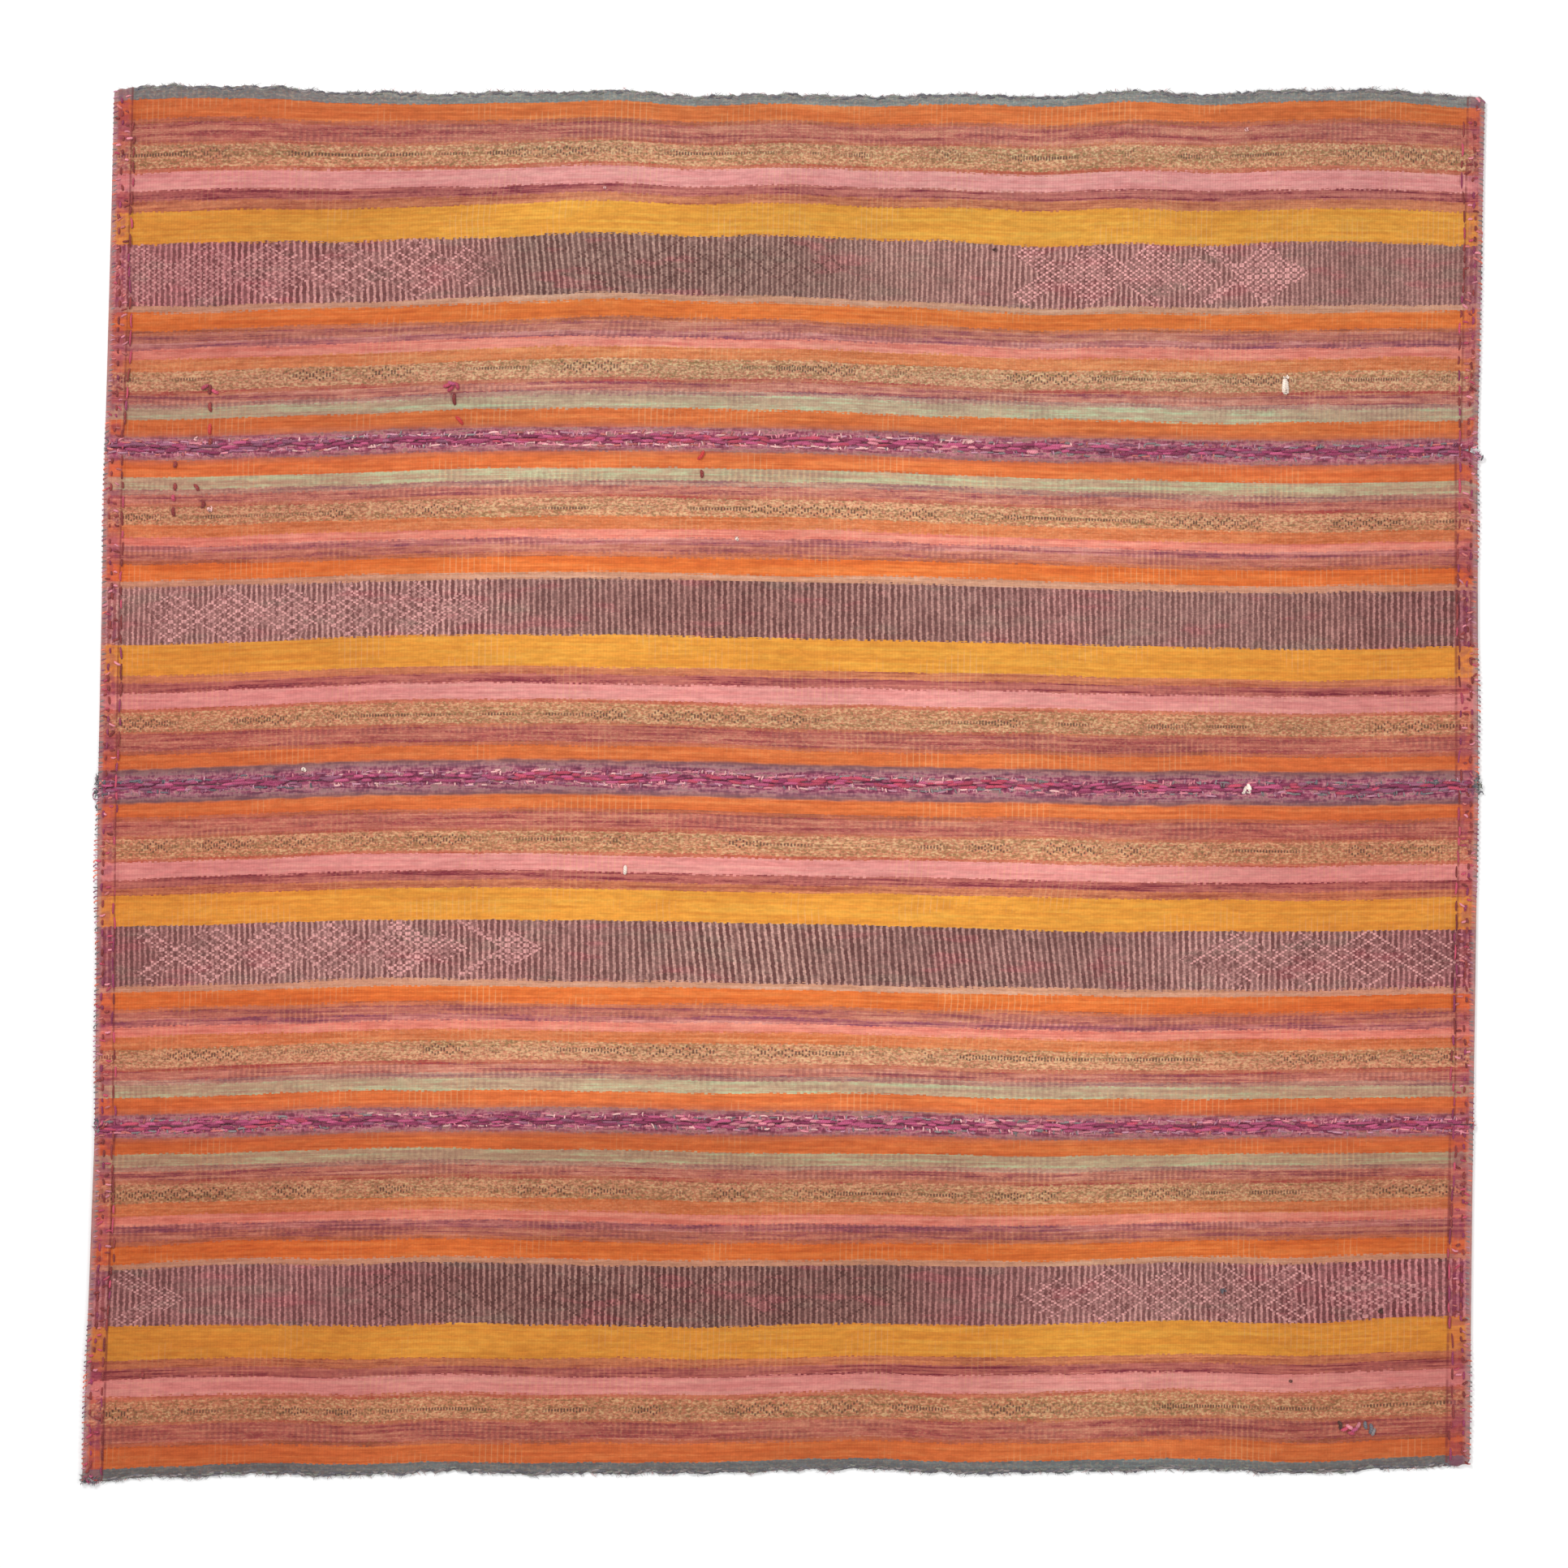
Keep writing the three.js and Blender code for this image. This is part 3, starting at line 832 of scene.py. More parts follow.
def picked_floats(cloth):
    """Where light and dark floats are picked up in the barred stripe, as nets within diamonds."""
    low, high = stripe_span("barred")
    up = cloth.across - (low + high) / 2
    along_cell = floor(cloth.weft + 7.0 * cloth.index)
    up_cell = floor(up * (1 / PICK_UP_CELL) + 0.5)
    folded = abs(along_cell % float(DIAMOND_CELLS) - DIAMOND_CELLS / 2)
    in_diamond = folded + abs(up_cell) < DIAMOND_REACH + 0.5
    dot = cloth.range(cloth.white(along_cell, up_cell, 5.0), 0.05, 0.3, 0.5, 1.0)
    dot = dot * cloth.range(cloth.off_centre(cloth.weft), 0.5, 0.3, 0.5, 1.0) * in_diamond
    nets = {}
    found = {True: 0.0, False: 0.0}
    ground = 0.0
    for zone in PICK_UP_ZONES[cloth.index]:
        if zone.ring not in nets:
            lines = []
            for slope in (1.0, -1.0):
                is_line = (along_cell + up_cell * slope) % float(zone.ring) < 0.5
                worn = cloth.noise(cloth.weft * 0.09, cloth.warp * 0.07, 7.5 + cloth.index + slope)
                lines.append(is_line * cloth.range(worn, 0.34, 0.48, 0.3, 1.0))
            nets[zone.ring] = cloth.math("MAXIMUM", *lines)
        place = cloth.weft + abs(up) * (ZONE_SLANT / MEAN_WEFT * zone.tip)
        inside = (place > weft_at(cloth.index, zone.start)) * (place < weft_at(cloth.index, zone.finish))
        shown = inside * nets[zone.ring] * zone.strength
        found[zone.light] = cloth.math("MAXIMUM", shown, found[zone.light])
        if zone.light:
            ground = cloth.math("MAXIMUM", inside * in_diamond * zone.strength, ground)
    return dot * found[True], dot * found[False], ground


def motif_ticks(cloth, stripe, seed):
    """A row of small dark ticks that wander as zigzags and crossings along a tan stripe."""
    low, high = stripe_span(stripe)
    off = cloth.across - (low + high) / 2
    form = cloth.noise(cloth.weft * 0.02, 3.0, seed, 1.0)
    folded = abs(floor(cloth.weft) % 10.0 - 5.0) - 2.5
    course = folded * (1 / 2.5) * cloth.range(form, 0.38, 0.6, 0.6, 6.0)
    nearest = cloth.math("MINIMUM", abs(off - course), abs(off + course))
    tick = cloth.range(nearest, 2.0, 0.8) * cloth.range(cloth.off_centre(cloth.weft), 0.36, 0.16)
    presence = cloth.noise(cloth.weft * 0.06, 9.0, seed + 1, 3.0)
    return tick * cloth.range(presence, 0.38, 0.58, 0.15, 1.5)


def striped_colour(cloth, thread, place, amounts):
    """Long streaks of darker and lighter threads, with specks of a float or two and rows of ticks."""
    main, dark, light = (cloth.by_stripe(place, lambda stripe, shade=shade: paint(*getattr(stripe, shade)))
                         for shade in ("main", "dark", "light"))
    darks, lights, specks = amounts
    streak = cloth.grain(0.022, 0.3, 1, 3.0, 0.6) * 0.45 + cloth.grain(0.09, 1.1, 2) * 0.27
    streak = streak + (cloth.grain(0.16, 0.16, 2.6) * 0.2 + cloth.white(thread, 7.0, cloth.seed + 2) * 0.08)
    colour = cloth.mix(cloth.range(streak, 0.495, 0.595) * darks, main, dark)
    colour = cloth.mix(cloth.range(streak, 0.495, 0.405) * lights, colour, light)
    speck = cloth.grain(0.95, 0.5, 3, 1.0)
    rosy_speck = cloth.grain(0.7, 0.6, 3.5)
    colour = cloth.mix(cloth.range(speck, 0.53, 0.62) * specks * 0.9, colour, paint(120, 98, 60))
    colour = cloth.mix(cloth.range(speck, 0.45, 0.36) * specks * 0.85, colour, paint(230, 194, 146))
    colour = cloth.mix(cloth.range(rosy_speck, 0.5, 0.6) * specks * 0.7, colour, paint(200, 104, 86))
    for number, stripe in enumerate(("tan ticks", "second ticks")):
        motif = motif_ticks(cloth, stripe, cloth.seed + 20 + 3 * number)
        colour = cloth.mix(motif * 0.6, colour, paint(92, 66, 58))
    return colour


def barred_colour(cloth):
    """Bars of the two-coloured threads, a dark and a light one in turn, and where the light ones are."""
    light_floats, dark_floats, ground = picked_floats(cloth)
    wobble = (cloth.grain(0.45, 0.3, 4, 1.0) - 0.5) * cloth.range(ground, 0.0, 1.0, 0.4, 1.3)
    bar_place = cloth.weft * 0.5 + wobble
    light_bar = cloth.range(cloth.off_centre(bar_place), 0.21, 0.38)
    zones = BAR_ZONES[cloth.index]
    dye = cloth.ramp_along([(x, paint(*BAR_DYES[dye])) for x, dye, _ in zones])
    clear = cloth.ramp_along([(x, clear) for x, _, clear in zones])
    dark = cloth.tint(dye, DARK_THREAD)
    light = cloth.tint(dye, LIGHT_THREAD)
    patch = cloth.grain(0.045, 0.07, 5, 3.0, 0.6)
    grey = cloth.range(patch, 0.56, 0.68) * 0.3
    rosy = cloth.range(patch, 0.44, 0.34) * 0.3
    dark = cloth.mix(rosy, cloth.mix(grey, dark, paint(96, 84, 76)), paint(138, 48, 64))
    light = cloth.mix(rosy, cloth.mix(grey, light, paint(178, 158, 138)), paint(222, 124, 130))
    between = cloth.mix(0.42, dark, light)
    bar = floor(bar_place)
    bar_depth = cloth.noise(bar * 3.7, cloth.warp * 0.05, cloth.seed + 6)
    gap_depth = cloth.noise(bar * 4.1, cloth.warp * 0.05, cloth.seed + 6.5)
    dark = cloth.mix(cloth.range(bar_depth, 0.42, 0.66, 0.0, 0.55), dark, between)
    light = cloth.mix(cloth.range(gap_depth, 0.42, 0.66, 0.0, 0.6), light, between)
    bars = cloth.mix(clear, between, cloth.mix(light_bar, dark, light))
    bars = cloth.mix(ground * 0.66, bars, cloth.mix(0.14, dark, light))
    bars = cloth.mix(light_floats, bars, paint(230, 166, 162))
    bars = cloth.mix(dark_floats, bars, paint(88, 54, 50))
    speckle = cloth.white(floor(cloth.weft * 1.5), floor(cloth.warp * 0.8), cloth.seed + 7)
    return cloth.tint(bars, cloth.range(speckle, 0.0, 1.0, 0.8, 1.2)), light_bar


def worn_colour(cloth, colour, light_bar, ticks, wefts):
    """Ticks in the heathered stripes, in patches, and bare wefts where worn threads let them show."""
    ticked = cloth.range(cloth.grain(0.045, 0.07, 8), 0.48, 0.6) * cloth.range(light_bar, 0.7, 0.1) * ticks
    colour = cloth.mix(ticked * 0.6, colour, paint(112, 58, 66))
    worn = cloth.range(cloth.grain(0.05, 0.02, 9), 0.5, 0.64)
    thin_line = cloth.range(cloth.off_centre(cloth.weft * 0.5), 0.34, 0.5)
    return cloth.mix(worn * thin_line * (wefts * 0.55 + 0.12), colour, paint(238, 184, 134))


def seam_colour(cloth, colour):
    """Along the seams the cloth is covered with sewing yarn in short dashes."""
    from_seam = PATTERN_WIDTH - cloth.across
    if is_inner(cloth.strip):
        from_seam = cloth.math("MINIMUM", from_seam, cloth.across)
    dashes = cloth.grain(0.17, 0.36, 13)
    level = dashes * 0.65 + cloth.grain(1.1, 0.2, 14, 1.0) * 0.35
    level = level - cloth.range(from_seam, 6.0, 1.0, 0.0, 0.06)
    yarn = cloth.ramp(level, [
        (0.36, paint(104, 42, 70)), (0.43, paint(146, 60, 92)), (0.49, paint(172, 94, 118)),
        (0.55, paint(208, 136, 146)), (0.6, paint(156, 116, 114)),
    ])
    ragged = from_seam + (dashes - 0.5) * 8.0
    colour = cloth.mix(cloth.range(ragged, 23.0, 12.0, 0.0, 0.45), colour, paint(158, 98, 88))
    if is_inner(cloth.strip):
        threads = cloth.ramp(level, [
            (0.42, paint(130, 92, 106)), (0.5, paint(150, 106, 112)), (0.57, paint(174, 128, 130))])
        threads = cloth.tint(threads, cloth.ramp_along(SEAM_SHADING))
        from_outer = cloth.across + (dashes - 0.5) * 4.0
        colour = cloth.mix(cloth.range(from_outer, 20.5, 16.5, 0.0, 0.85), colour, threads)
        dark_line = cloth.range(abs(from_outer - 17.2), 1.8, 0.6, 0.0, 0.4)
        colour = cloth.mix(dark_line, colour, paint(108, 80, 84))
    return cloth.mix(cloth.range(ragged, 17.0, 6.0, 0.0, 0.88), colour, yarn)


def hem_colour(cloth, colour):
    """Hems are tinted by the yarn that sews them, with painted shade in the crease where they end and, at
    the folded end, painted shade with the grey of the overcast yarn.
    """
    from_end = cloth.math("MINIMUM", cloth.weft, cloth.weft_total - cloth.weft)
    hem_wefts = HEM_WIDTH / MEAN_WEFT
    in_hem = cloth.range(from_end, hem_wefts + 1.2, hem_wefts - 1.2)
    blotch = cloth.grain(0.25, 0.12, 10)
    yarn = cloth.mix(cloth.range(blotch, 0.42, 0.58), paint(222, 84, 94), paint(146, 48, 90))
    colour = cloth.mix(in_hem * cloth.range(blotch, 0.44, 0.6, 0.2, 0.44), colour, yarn)
    # Painted shade along the crease where the hem ends
    painted_crease_shade = cloth.range(abs(from_end - (hem_wefts + 0.6)), 0.6, 0.15)
    painted_crease_shade = painted_crease_shade * cloth.range(blotch, 0.36, 0.5, 0.25, 0.6)
    colour = cloth.mix(painted_crease_shade, colour, paint(122, 46, 52))
    # Greyer at the folded end: painted shade where the cloth rolls over, with the grey of the overcast yarn
    return cloth.mix(cloth.range(from_end, 2.4, 0.8, 0.0, 0.6), colour, paint(178, 142, 138))


def weave_material(index):
    """Striped warp-faced cloth: streaked warps, bars, picked floats, specks, ticks and hems."""
    cloth = Cloth(index)
    thread, place = cloth.thread_place()
    amounts = cloth.parts("ShaderNodeSeparateColor", cloth.by_stripe(
        place, lambda stripe: (stripe.darks, stripe.lights, stripe.specks, 1.0)))
    ticks, wefts, is_barred = cloth.parts("ShaderNodeSeparateColor", cloth.by_stripe(
        place, lambda stripe: (stripe.ticks, stripe.wefts, float(stripe.name == "barred"), 1.0)))
    bars, light_bar = barred_colour(cloth)
    colour = striped_colour(cloth, thread, place, amounts)
    colour = worn_colour(cloth, colour, light_bar, ticks, wefts)

    # The stripes have faded unevenly and carry painted light falloff, darker towards both ends and lighter
    # in the middle, and the bars' dyes hold that already; the strip's tint adds its own colour and painted
    # shade of the outer strips
    fading_and_light = cloth.ramp_along([(row[0], row[1 + index]) for row in LIGHT_AND_FADING])
    colour = cloth.tint(cloth.tint(colour, cloth.mix(fading_and_light, UNFADED_AND_SHADED, FADED_AND_LIT)), cloth.strip.tint)
    colour = cloth.mix(is_barred, colour, bars)
    in_selvedge = thread * WARP < stripe_span("selvedge")[1]
    colour = cloth.mix(in_selvedge, colour, cloth.tint(colour, cloth.strip.edge_tint))
    colour = hem_colour(cloth, seam_colour(cloth, colour))

    # Patches of lighter and darker cloth
    age = cloth.range(cloth.grain(0.02, 0.02, 11, 4.0), 0.32, 0.68, 0.94, 1.06)
    colour = cloth.tint(colour, age * cloth.range(cloth.grain(0.3, 0.3, 15), 0.3, 0.7, 0.91, 1.09))

    # Relief of single floats, laid like bricks, with fine fibres, and painted shade in the grooves between
    # the floats
    across_float = cloth.off_centre(cloth.warp + cloth.parity * 0.5)
    pillow = cloth.range(cloth.off_centre(cloth.weft), 0.5, 0.25) * cloth.range(across_float, 0.5, 0.15)
    height = pillow * 0.7 + cloth.grain(3.0, 5.0, 12) * 0.3
    # Painted shade in the grooves between the floats
    colour = cloth.mix((1.0 - pillow) * 0.2, colour, paint(80, 44, 42))
    return cloth.wool(colour, height, 0.35)


# Yarn laid on the cloth

YARN_TAPER = 0.5  # radius at a yarn's two ends, as a share
QUARTERS = np.linspace(0, 1, 5)


def unit(vectors):
    return vectors / np.maximum(np.linalg.norm(vectors, axis=-1, keepdims=True), 1e-6)


def make_yarns(name, x, y, z, radius, yarns, sides=6):
    """Many short yarns in one mesh. x, y and z have a row of points for each yarn, in the frame."""
    count, points = x.shape
    centre = np.stack([x, y, z], axis=-1)
    run = centre[:, -1] - centre[:, 0]
    side = unit(np.stack([-run[:, 1], run[:, 0], np.zeros(count)], axis=-1))
    side = np.broadcast_to(side[:, None, :], centre.shape)
    up = unit(np.cross(unit(np.gradient(centre, axis=1)), side))
    turn = 2 * math.pi * np.arange(sides) / sides
    taper = np.ones(points)
    taper[[0, -1]] = YARN_TAPER
    reach = (np.asarray(radius, float).reshape(-1, 1) * taper)[:, :, None, None]
    ring = side[:, :, None, :] * np.cos(turn)[:, None] + up[:, :, None, :] * np.sin(turn)[:, None]
    vertices = (centre[:, :, None, :] + ring * reach).reshape(-1, 3)

    n, i, k = np.meshgrid(np.arange(count), np.arange(points - 1), np.arange(sides), indexing="ij")
    following = (k + 1) % sides
    base = (n * points + i) * sides
    walls = np.stack([base + k, base + following, base + sides + following, base + sides + k], axis=-1)
    fan = np.array([(0, 1, 2, 3)] if sides == 4 else [(0, 1, 2, 3), (0, 3, 4, 5)])
    first = (np.arange(count) * points * sides)[:, None, None]
    last = first + (points - 1) * sides
    caps = np.concatenate([first + fan[:, ::-1], last + fan], axis=1)
    obj = new_object(name, vertices, np.concatenate([walls.reshape(-1, 4), caps.reshape(-1, 4)]))

    steps = np.linalg.norm(np.diff(centre, axis=1), axis=2)
    reached = np.concatenate([np.zeros((count, 1)), np.cumsum(steps, axis=1)], axis=1)
    length_at = np.stack([reached[n, i], reached[n, i], reached[n, i + 1], reached[n, i + 1]], axis=-1)
    around = np.stack([k, k + 1, k + 1, k], axis=-1) / sides
    wall_uv = np.stack([length_at, around], axis=-1).reshape(-1, 2)
    set_uv(obj, "Yarn", np.concatenate([wall_uv, np.zeros((caps.size, 2))]))
    rng = np.random.default_rng(len(name) * 101 + count)
    dye = [(list(YARNS).index(yarn) + 0.5) / len(YARNS) for yarn in yarns]
    dye = np.stack([dye, rng.uniform(0, 1, count)], axis=-1)
    wall_dye = np.repeat(dye, (points - 1) * sides * 4, axis=0)
    set_uv(obj, "Dye", np.concatenate([wall_dye, np.repeat(dye, 2 * fan.size, axis=0)]))
    obj.data.materials.append(yarn_material())
    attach(obj, "root")


def yarn_material():
    """Twisted wool in the yarn colours, a little lighter or darker from stitch to stitch, with painted
    shade between its plies.
    """
    if "sewing_wool" in bpy.data.materials:
        return bpy.data.materials["sewing_wool"]
    graph = Graph("sewing_wool")
    along, around = graph.uv("Yarn")
    dye, own = graph.uv("Dye")
    stops = [(number / len(YARNS), paint(*colour)) for number, colour in enumerate(YARNS.values())]
    colour = graph.tint(graph.ramp(dye, stops, "CONSTANT"), graph.range(own, 0.0, 1.0, 0.86, 1.3))
    ply = graph.off_centre(along * 0.42 + around * 2.0)
    fibres = graph.noise(along * 1.6, around * 9.0, own * 60.0)
    # Painted shade in the grooves between the plies
    colour = graph.mix(graph.range(ply, 0.34, 0.5) * 0.4, colour, paint(60, 26, 40))
    colour = graph.mix(graph.range(fibres, 0.55, 0.8, 0.0, 0.3), colour, paint(236, 200, 196))
    return graph.wool(colour, graph.range(ply, 0.5, 0.1) * 0.7 + fibres * 0.3, 0.3, sheen=0.1)


def laid_yarns(name, x, y, height, radius, yarns):
    """Yarns on the cloth: x and y in the outline's places, height above the cloth's upper face."""
    frame_x, frame_y, top = on_cloth(x, y)
    make_yarns(name, frame_x, frame_y, top + height, radius, yarns)


STITCH_SHARES = np.array([0.0, 0.2, 0.5, 0.8, 1.0])
STITCH_ARCH = np.array([-0.7, 0.4, 0.65, 0.4, -0.7])  # height above the cloth, in radii


def lay_stitches(name, starts, runs, radius, yarns, rng, bow=0.5):
    """Stitches that dip into the cloth at both ends. starts and runs are pairs of x and y."""
    x, y, run_x, run_y, radius = np.broadcast_arrays(*starts, *runs, radius)
    bend = rng.normal(0, bow, x.size) / np.hypot(run_x, run_y)
    aside = bend[:, None] * np.sin(math.pi * STITCH_SHARES)
    course_x = x[:, None] + run_x[:, None] * STITCH_SHARES - run_y[:, None] * aside
    course_y = y[:, None] + run_y[:, None] * STITCH_SHARES + run_x[:, None] * aside
    laid_yarns(name, course_x, course_y, radius[:, None] * STITCH_ARCH, radius, yarns)


# Seams, sewn with thick strands along the middle, dashes beside them and short stitches across

# Rows of yarn: distance from the seam's line, spacing and length along it, radius, column of yarns
SEAM_ROWS = [
    {"name": "middle_strands", "off": (-3.0, 0.0, 3.0), "pitch": 4.8, "length": (10, 22),
     "radius": (1.5, 2.1), "yarns": 1},
    {"name": "side_dashes", "off": (-6.4, 6.4), "pitch": 5.2, "length": (6, 14),
     "radius": (0.9, 1.25), "yarns": 2},
]
SEAM_STITCH_PITCH = 2.3
SEAM_STITCHES_MISSING = 0.4


def line_ends(line):
    """x of the two ends of a seam or selvedge."""
    return (float(end_line("left", long_edge(line, -800))), float(end_line("right", long_edge(line, 800))))


def zone_yarns(seam, x, number, rng):
    """A yarn for each place along a seam, from its zone's list, the first ones more often."""
    zones = SEAM_YARNS[seam]
    chosen = []
    for place in x:
        passed = [zone for zone in zones if zone[0] <= place + rng.normal(0, 25)] or zones[:1]
        yarns = passed[-1][number]
        weights = np.linspace(1.5, 0.6, len(yarns))
        chosen.append(yarns[rng.choice(len(yarns), p=weights / weights.sum())])
    return chosen


def make_seam(seam):
    rng = np.random.default_rng(300 + SEAMS.index(seam))
    start, finish = line_ends(seam)
    start += 4
    finish -= OPEN_SEAM_LENGTH if seam == OPEN_SEAM_LINE else 4

    def course(x):
        return long_edge(seam, x) + waves(x, 320 + SEAMS.index(seam), (160, 60), (0.9, 0.5))

    for row in SEAM_ROWS:
        x = np.arange(start, finish - 8, row["pitch"])
        count = len(x)
        length = np.minimum(rng.uniform(*row["length"], count), finish - x)
        off = rng.choice(row["off"], count) + rng.normal(0, 0.7, count)
        rise = course(x + length) - course(x) + rng.normal(0, 0.8, count)
        lay_stitches(f"{seam}_{row['name']}", (x, course(x) + off), (length, rise),
                     rng.uniform(*row["radius"], count), zone_yarns(seam, x, row["yarns"], rng), rng)

    x = np.arange(start, finish, SEAM_STITCH_PITCH) + rng.normal(0, 0.5)
    x = x[rng.uniform(0, 1, len(x)) > SEAM_STITCHES_MISSING]
    count = len(x)
    side = rng.choice([-1, 1], count)
    near = rng.uniform(1.5, 5.0, count)
    lay_stitches(f"{seam}_side_stitches", (x, course(x) + side * near),
                 (rng.normal(1.0, 1.2, count), side * rng.uniform(3.5, 6.5, count)),
                 rng.uniform(0.8, 1.1, count), zone_yarns(seam, x, 2, rng), rng)


# Hems, with two rows of running stitches, slanted stitches between them and overcast ends

# Rows of running stitches: distance in from the folded end, their length, gaps, radius and yarns
RUNNING_ROWS = [
    {"inset": 22.5, "length": (9, 20), "gap": (1, 7), "radius": 1.3,
     "yarns": ("maroon", "dark magenta", "maroon", "crimson")},
    {"inset": 9.5, "length": (4, 10), "gap": (3, 14), "radius": 1.4,
     "yarns": ("maroon", "dark magenta", "maroon")},
]
HEM_STITCH_PITCH = 8.0
HEM_STITCH_INSETS = [2.5, 5.0, 11.5, 14.0]
HEM_STITCHES_MISSING = 0.25
OVERCAST_PITCH = 6.0
OVERCAST_RADIUS = 0.8
OVERCAST_TURN = np.radians([-40, 5, 45, 85, 122])  # how far round the folded end each point lies


def make_hem(side):
    rng = np.random.default_rng(400 if side == "left" else 401)
    inward = 1 if side == "left" else -1
    low = float(long_edge("bottom", inward * -800)) + 3
    high = float(long_edge("top", inward * -800)) - 3

    for number, row in enumerate(RUNNING_ROWS):
        count = int((high - low) / (sum(row["length"] + row["gap"]) / 2))
        length = rng.uniform(*row["length"], count)
        y = low + np.cumsum(length + rng.uniform(*row["gap"], count))
        kept = y < high
        y, length = y[kept], length[kept]
        inset = row["inset"] + waves(y, 410 + number, (210, 60), (1.2, 0.7))
        x = end_line(side, y) + inward * inset
        tilt = end_line(side, y - length) - end_line(side, y) + rng.normal(0, 0.7, len(y))
        radius = row["radius"] * rng.uniform(0.8, 1.1, len(y))
        lay_stitches(f"{side}_hem_running_{number + 1}", (x, y), (tilt, -length), radius,
                     rng.choice(row["yarns"], len(y)), rng)

    y = np.arange(low, high, HEM_STITCH_PITCH)
    y = y[rng.uniform(0, 1, len(y)) > HEM_STITCHES_MISSING]
    count = len(y)
    inset = rng.choice(HEM_STITCH_INSETS, count) + rng.normal(0, 0.9, count)
    reach = rng.uniform(4, 8, count)
    lay_stitches(f"{side}_hem_stitches", (end_line(side, y) + inward * inset, y),
                 (inward * reach, rng.normal(0.5, 2.5, count)), rng.uniform(1.0, 1.5, count),
                 rng.choice(["rose", "maroon", "crimson", "pink"], count), rng)
    make_overcast(side, inward, np.arange(low, high, OVERCAST_PITCH), rng)


def make_overcast(side, inward, places, rng):
    """Short stitches round the folded end, that start on top and go under."""
    count = len(places)
    fold_radius = HEM_THICKNESS / 2
    wrap = fold_radius + 0.45
    inset = fold_radius - wrap * np.sin(OVERCAST_TURN)
    rise = wrap * np.cos(OVERCAST_TURN) - fold_radius
    inset[0], rise[0] = 5.5, -0.4
    lean = rng.normal(1.2, 0.8, count)[:, None] * np.linspace(1, -1, 5)
    y = (places + rng.normal(0, 0.6, count))[:, None] + lean
    x = end_line(side, y) + inward * inset
    yarns = rng.choice(["purple", "rose", "grey", "rose", "lilac", "grey", "coral"], count)
    rise = np.broadcast_to(rise, x.shape)
    laid_yarns(f"{side}_overcast", x, y, rise, np.full(count, OVERCAST_RADIUS), yarns)


# Selvedges of the rug, with coarse grey loops and loose fibres

LOOP_PITCH = 3.3
LOOP_ARCH = np.array([0.0, 0.75, 1.0, 0.75, 0.0])
FIBRE_COUNT = 520


def make_selvedge(line):
    rng = np.random.default_rng(500 if line == "top" else 501)
    outward = 1 if line == "top" else -1
    index = 0 if line == "top" else 3
    start, finish = line_ends(line)
    start += 2
    finish -= 2

    def edge_y(x):
        known_distance, known_weft = weft_numbers(index)
        distance = np.clip(x - start, 0, known_distance[-1])
        waver = selvedge_waver(index, np.interp(distance, known_distance, known_weft), distance)
        return long_edge(line, x) + outward * waver

    places = np.arange(start, finish - 6, LOOP_PITCH)
    count = len(places)
    length = rng.uniform(5, 11, count)
    x = np.clip(places[:, None] + length[:, None] * QUARTERS, start, finish)
    bulge = rng.uniform(0.2, 1.6, count) + waves(places, 510 + index, (130, 42), (0.4, 0.5))
    inset = rng.uniform(1.0, 4.2, count)
    y = edge_y(x) + outward * (bulge[:, None] * LOOP_ARCH - inset[:, None])
    middle = CLOTH_THICKNESS / 2 + rng.uniform(-0.1, 1.1, count)
    z = middle[:, None] + 0.5 * LOOP_ARCH + lift(x - MIDDLE_X, y - MIDDLE_Y)
    thick = rng.uniform(0.9, 1.3, count)
    yarns = rng.choice(["grey", "slate", "green grey", "grey", "slate"], count)
    make_yarns(f"{line}_selvedge_loops", x - MIDDLE_X, y - MIDDLE_Y, z, thick, yarns)

    x0 = rng.uniform(start, finish, FIBRE_COUNT)
    reach = rng.uniform(2, 6.5, FIBRE_COUNT)
    sweep = rng.normal(0, 4, FIBRE_COUNT)
    share = np.array([0.0, 0.35, 0.7, 1.0])
    x = x0[:, None] + sweep[:, None] * share ** 1.5
    y = edge_y(x0)[:, None] + outward * (reach[:, None] * share - 2.0)
    z = 1.9 + rng.uniform(0, 1.2, FIBRE_COUNT)[:, None] * (1 - share)
    yarns = rng.choice(["grey", "slate", "green grey", "rose"], FIBRE_COUNT)
    thick = rng.uniform(0.12, 0.25, FIBRE_COUNT)
    make_yarns(f"{line}_selvedge_fibres", x - MIDDLE_X, y - MIDDLE_Y, z, thick, yarns,
               sides=4)


# Tufts of loose strands at the corners and the ends of the seams: place, spread along and across
Tuft = namedtuple("Tuft", "x y spread_x spread_y strands yarns")
TUFTS = [
    Tuft(-797, -5, 5, 17, 60, ("slate", "purple", "grey")),
    Tuft(806, -4, 4, 11, 46, ("slate", "green grey", "slate")),
    Tuft(-808, -812, 9, 4, 46, ("slate", "grey", "magenta")),
    Tuft(-786, 392, 4, 11, 26, ("purple", "slate", "magenta")),
    Tuft(806, 380, 5, 4, 22, ("slate", "purple", "lilac")),
    Tuft(800, -398, 2, 6, 14, ("purple", "slate", "rose")),
    Tuft(-799, -401, 4, 8, 22, ("grey", "magenta", "slate")),
]


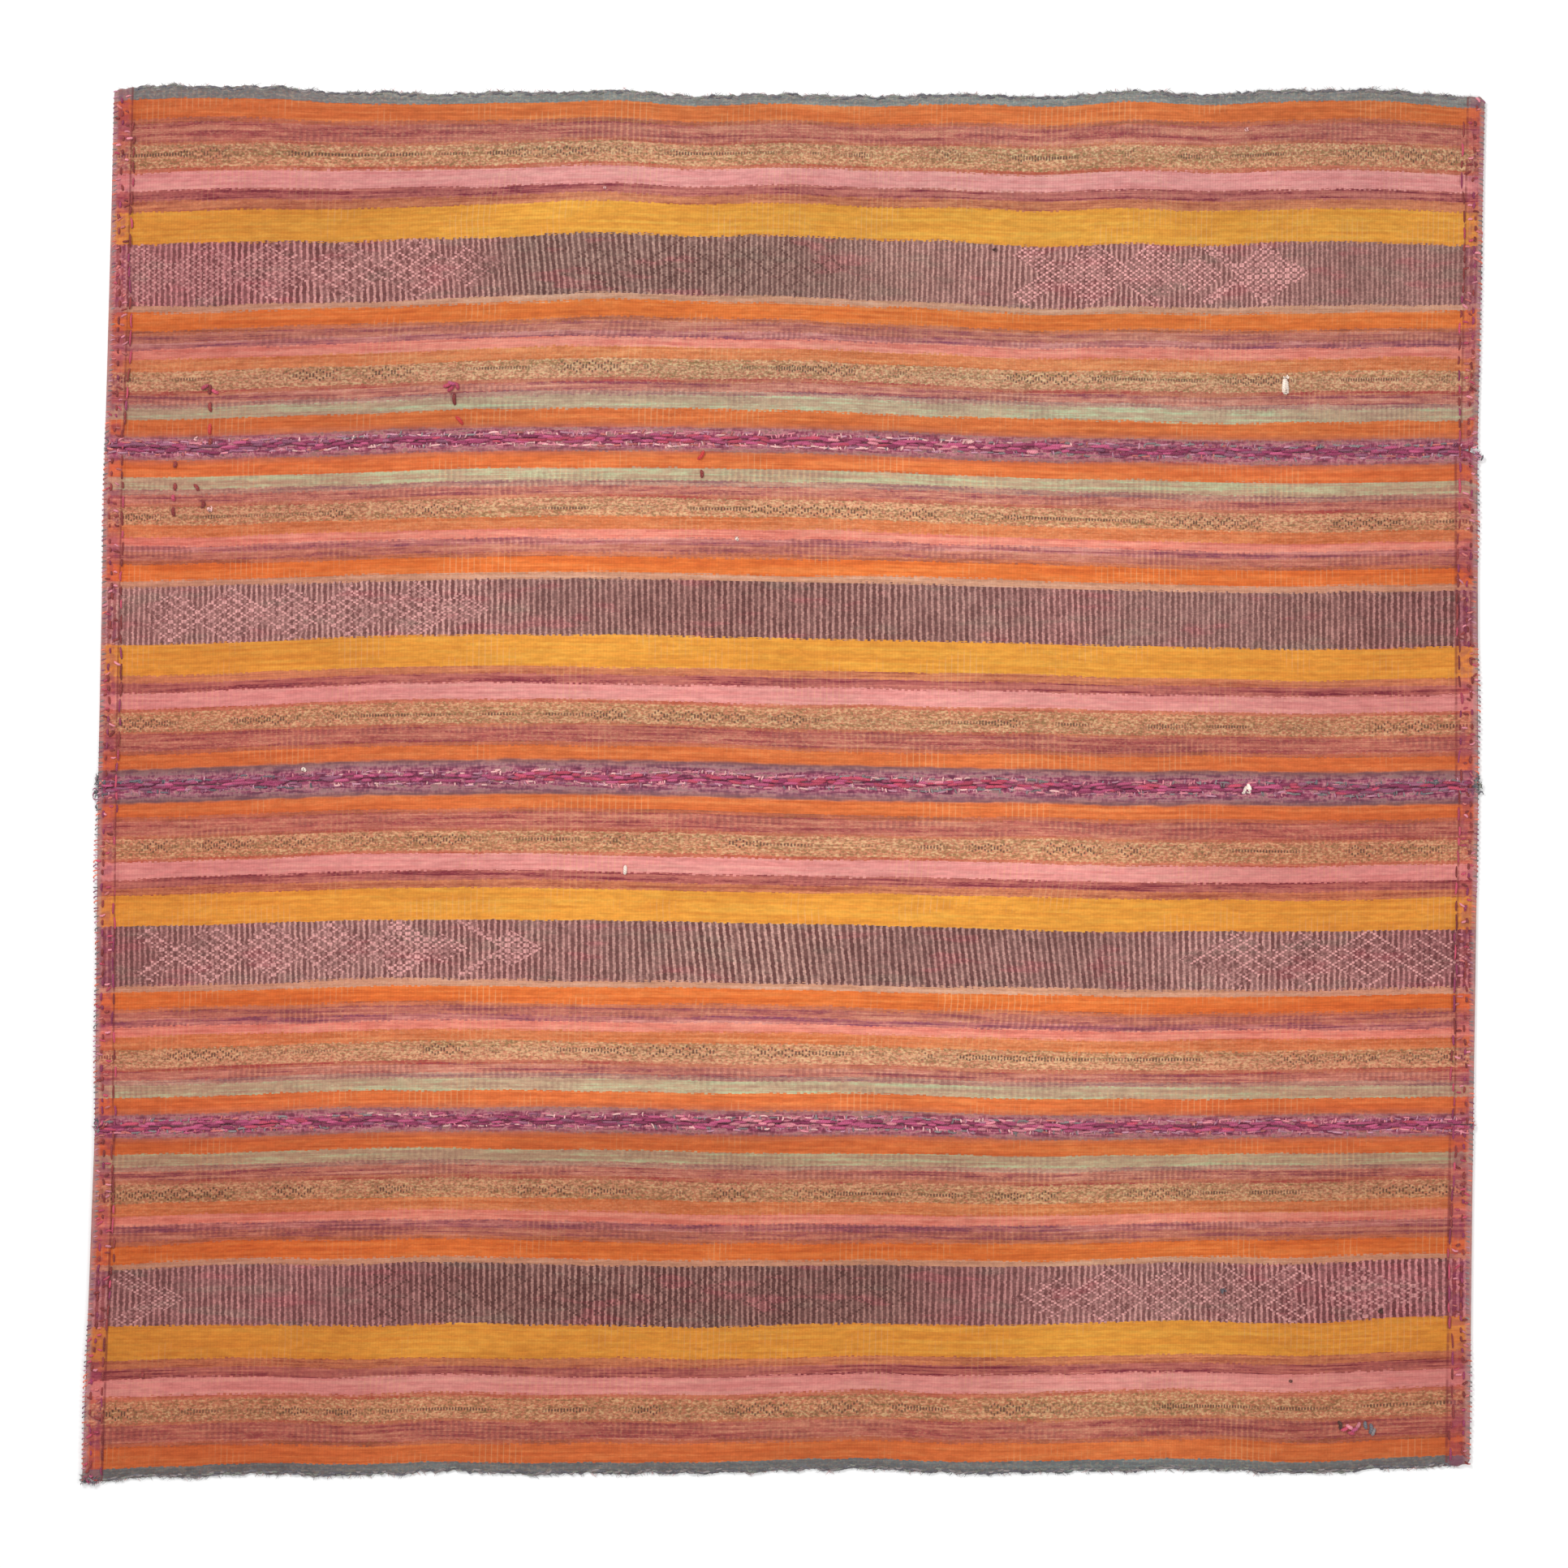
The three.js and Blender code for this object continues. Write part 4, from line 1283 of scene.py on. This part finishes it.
def make_tufts():
    rng = np.random.default_rng(600)
    for number, tuft in enumerate(TUFTS):
        count = tuft.strands
        x0 = tuft.x + rng.normal(0, tuft.spread_x / 2, count)
        y0 = tuft.y + rng.normal(0, tuft.spread_y / 2, count)
        angle = rng.uniform(0, 2 * math.pi, count)
        length = rng.uniform(4, 9, count)
        curl = rng.normal(0, 1.8, count)
        heading = angle[:, None] + curl[:, None] * QUARTERS
        x = x0[:, None] + np.cos(heading) * length[:, None] * (QUARTERS - 0.5)
        y = y0[:, None] + np.sin(heading) * length[:, None] * (QUARTERS - 0.5)
        base = rng.uniform(1.1, 5.0, count)
        z = base[:, None] + 0.8 * np.sin(math.pi * QUARTERS) + lift(x - MIDDLE_X, y - MIDDLE_Y)
        thick = rng.uniform(0.5, 1.05, count)
        make_yarns(f"tuft_{number + 1}", x - MIDDLE_X, y - MIDDLE_Y, z, thick,
                   rng.choice(tuft.yarns, count))


# Mending stitches, knots and burrs

def make_mends():
    x, y, length, angle = np.array([row[:4] for row in MENDS], float).T
    run = length * np.cos(np.radians(angle)), length * np.sin(np.radians(angle))
    starts = x - run[0] / 2, y - run[1] / 2
    yarns = [row[4] for row in MENDS]
    rng = np.random.default_rng(700)
    lay_stitches("mending_stitches", starts, run, MEND_RADIUS, yarns, rng, bow=1.2)


def make_knots():
    rng = np.random.default_rng(710)
    rows = [row for row in KNOTS for _ in range(KNOT_STRANDS)]
    knot_x, knot_y, radius = np.array([row[:3] for row in rows])[:, :, None].transpose(1, 0, 2)
    count = len(rows)
    angle = rng.uniform(0, 2 * math.pi, count)[:, None] + rng.normal(0, 1.6, count)[:, None] * QUARTERS
    off = rng.uniform(0.1, 0.9, count)[:, None]
    x = knot_x + radius * off * np.cos(angle) + rng.normal(0, 0.25, (count, 5)) * radius / 2
    y = knot_y + radius * off * np.sin(angle) + rng.normal(0, 0.25, (count, 5)) * radius / 2
    height = rng.uniform(0.1, 0.45, count)[:, None] * radius + 0.3 * np.sin(math.pi * QUARTERS)
    laid_yarns("knots_and_burrs", x, y, height, radius[:, 0] * 0.24, [row[3] for row in rows])


# Light, floor and camera

FRAME_PIXELS = 1932
PIXEL_SIZE = 0.945  # of the rug in one pixel of the photograph
CAMERA_HEIGHT = 5.0
SENSOR_WIDTH = 36
FLOOR_SIZE = 30
FLOOR_LEVEL = -0.0002
WORLD_LIGHT = 0.68


def add_to_scene(name, data, place):
    obj = bpy.data.objects.new(name, data)
    obj.location = place
    bpy.context.scene.collection.objects.link(obj)
    return obj


def make_floor():
    bpy.ops.mesh.primitive_plane_add(size=FLOOR_SIZE, location=(0, 0, FLOOR_LEVEL))
    floor_plane = bpy.context.object
    floor_plane.name = "floor"
    graph = Graph("pale_floor")
    looks = {"Base Color": (0.95, 0.95, 0.95, 1), "Roughness": 0.9, "Specular IOR Level": 0.1}
    floor_plane.data.materials.append(graph.close(graph.node("ShaderNodeBsdfPrincipled", looks)))


def make_light(name, place, power, size):
    data = bpy.data.lights.new(name, "AREA")
    data.shape = "DISK"
    data.size = size
    data.energy = power
    light = add_to_scene(name, data, place)
    light.rotation_euler = (-Vector(place)).to_track_quat("-Z", "Y").to_euler()


def make_studio():
    scene = bpy.context.scene
    world = bpy.data.worlds.new("studio")
    world.use_nodes = True
    background = world.node_tree.nodes["Background"]
    background.inputs["Color"].default_value = (1, 1, 1, 1)
    background.inputs["Strength"].default_value = WORLD_LIGHT
    scene.world = world
    make_light("key", (-2.2, 2.6, 3.4), 120, 1.6)
    make_light("fill", (2.6, -1.2, 3.2), 44, 2.5)
    scene.view_settings.view_transform = "Standard"


def make_camera():
    """A camera straight above, with the rug where it lies in the photograph's frame."""
    data = bpy.data.cameras.new("camera")
    data.sensor_width = SENSOR_WIDTH
    data.lens = SENSOR_WIDTH * CAMERA_HEIGHT / (FRAME_PIXELS * PIXEL_SIZE * MM)
    data.clip_end = 100
    place = (-MIDDLE_X * MM, (-2 * PIXEL_SIZE - MIDDLE_Y) * MM, CAMERA_HEIGHT)
    bpy.context.scene.camera = add_to_scene("camera", data, place)


make_camera()
make_studio()
make_floor()
for number in range(len(STRIPS)):
    make_strip(number)
for seam in SEAMS:
    make_seam(seam)
for side in ("left", "right"):
    make_hem(side)
for line in ("top", "bottom"):
    make_selvedge(line)
make_tufts()
make_mends()
make_knots()
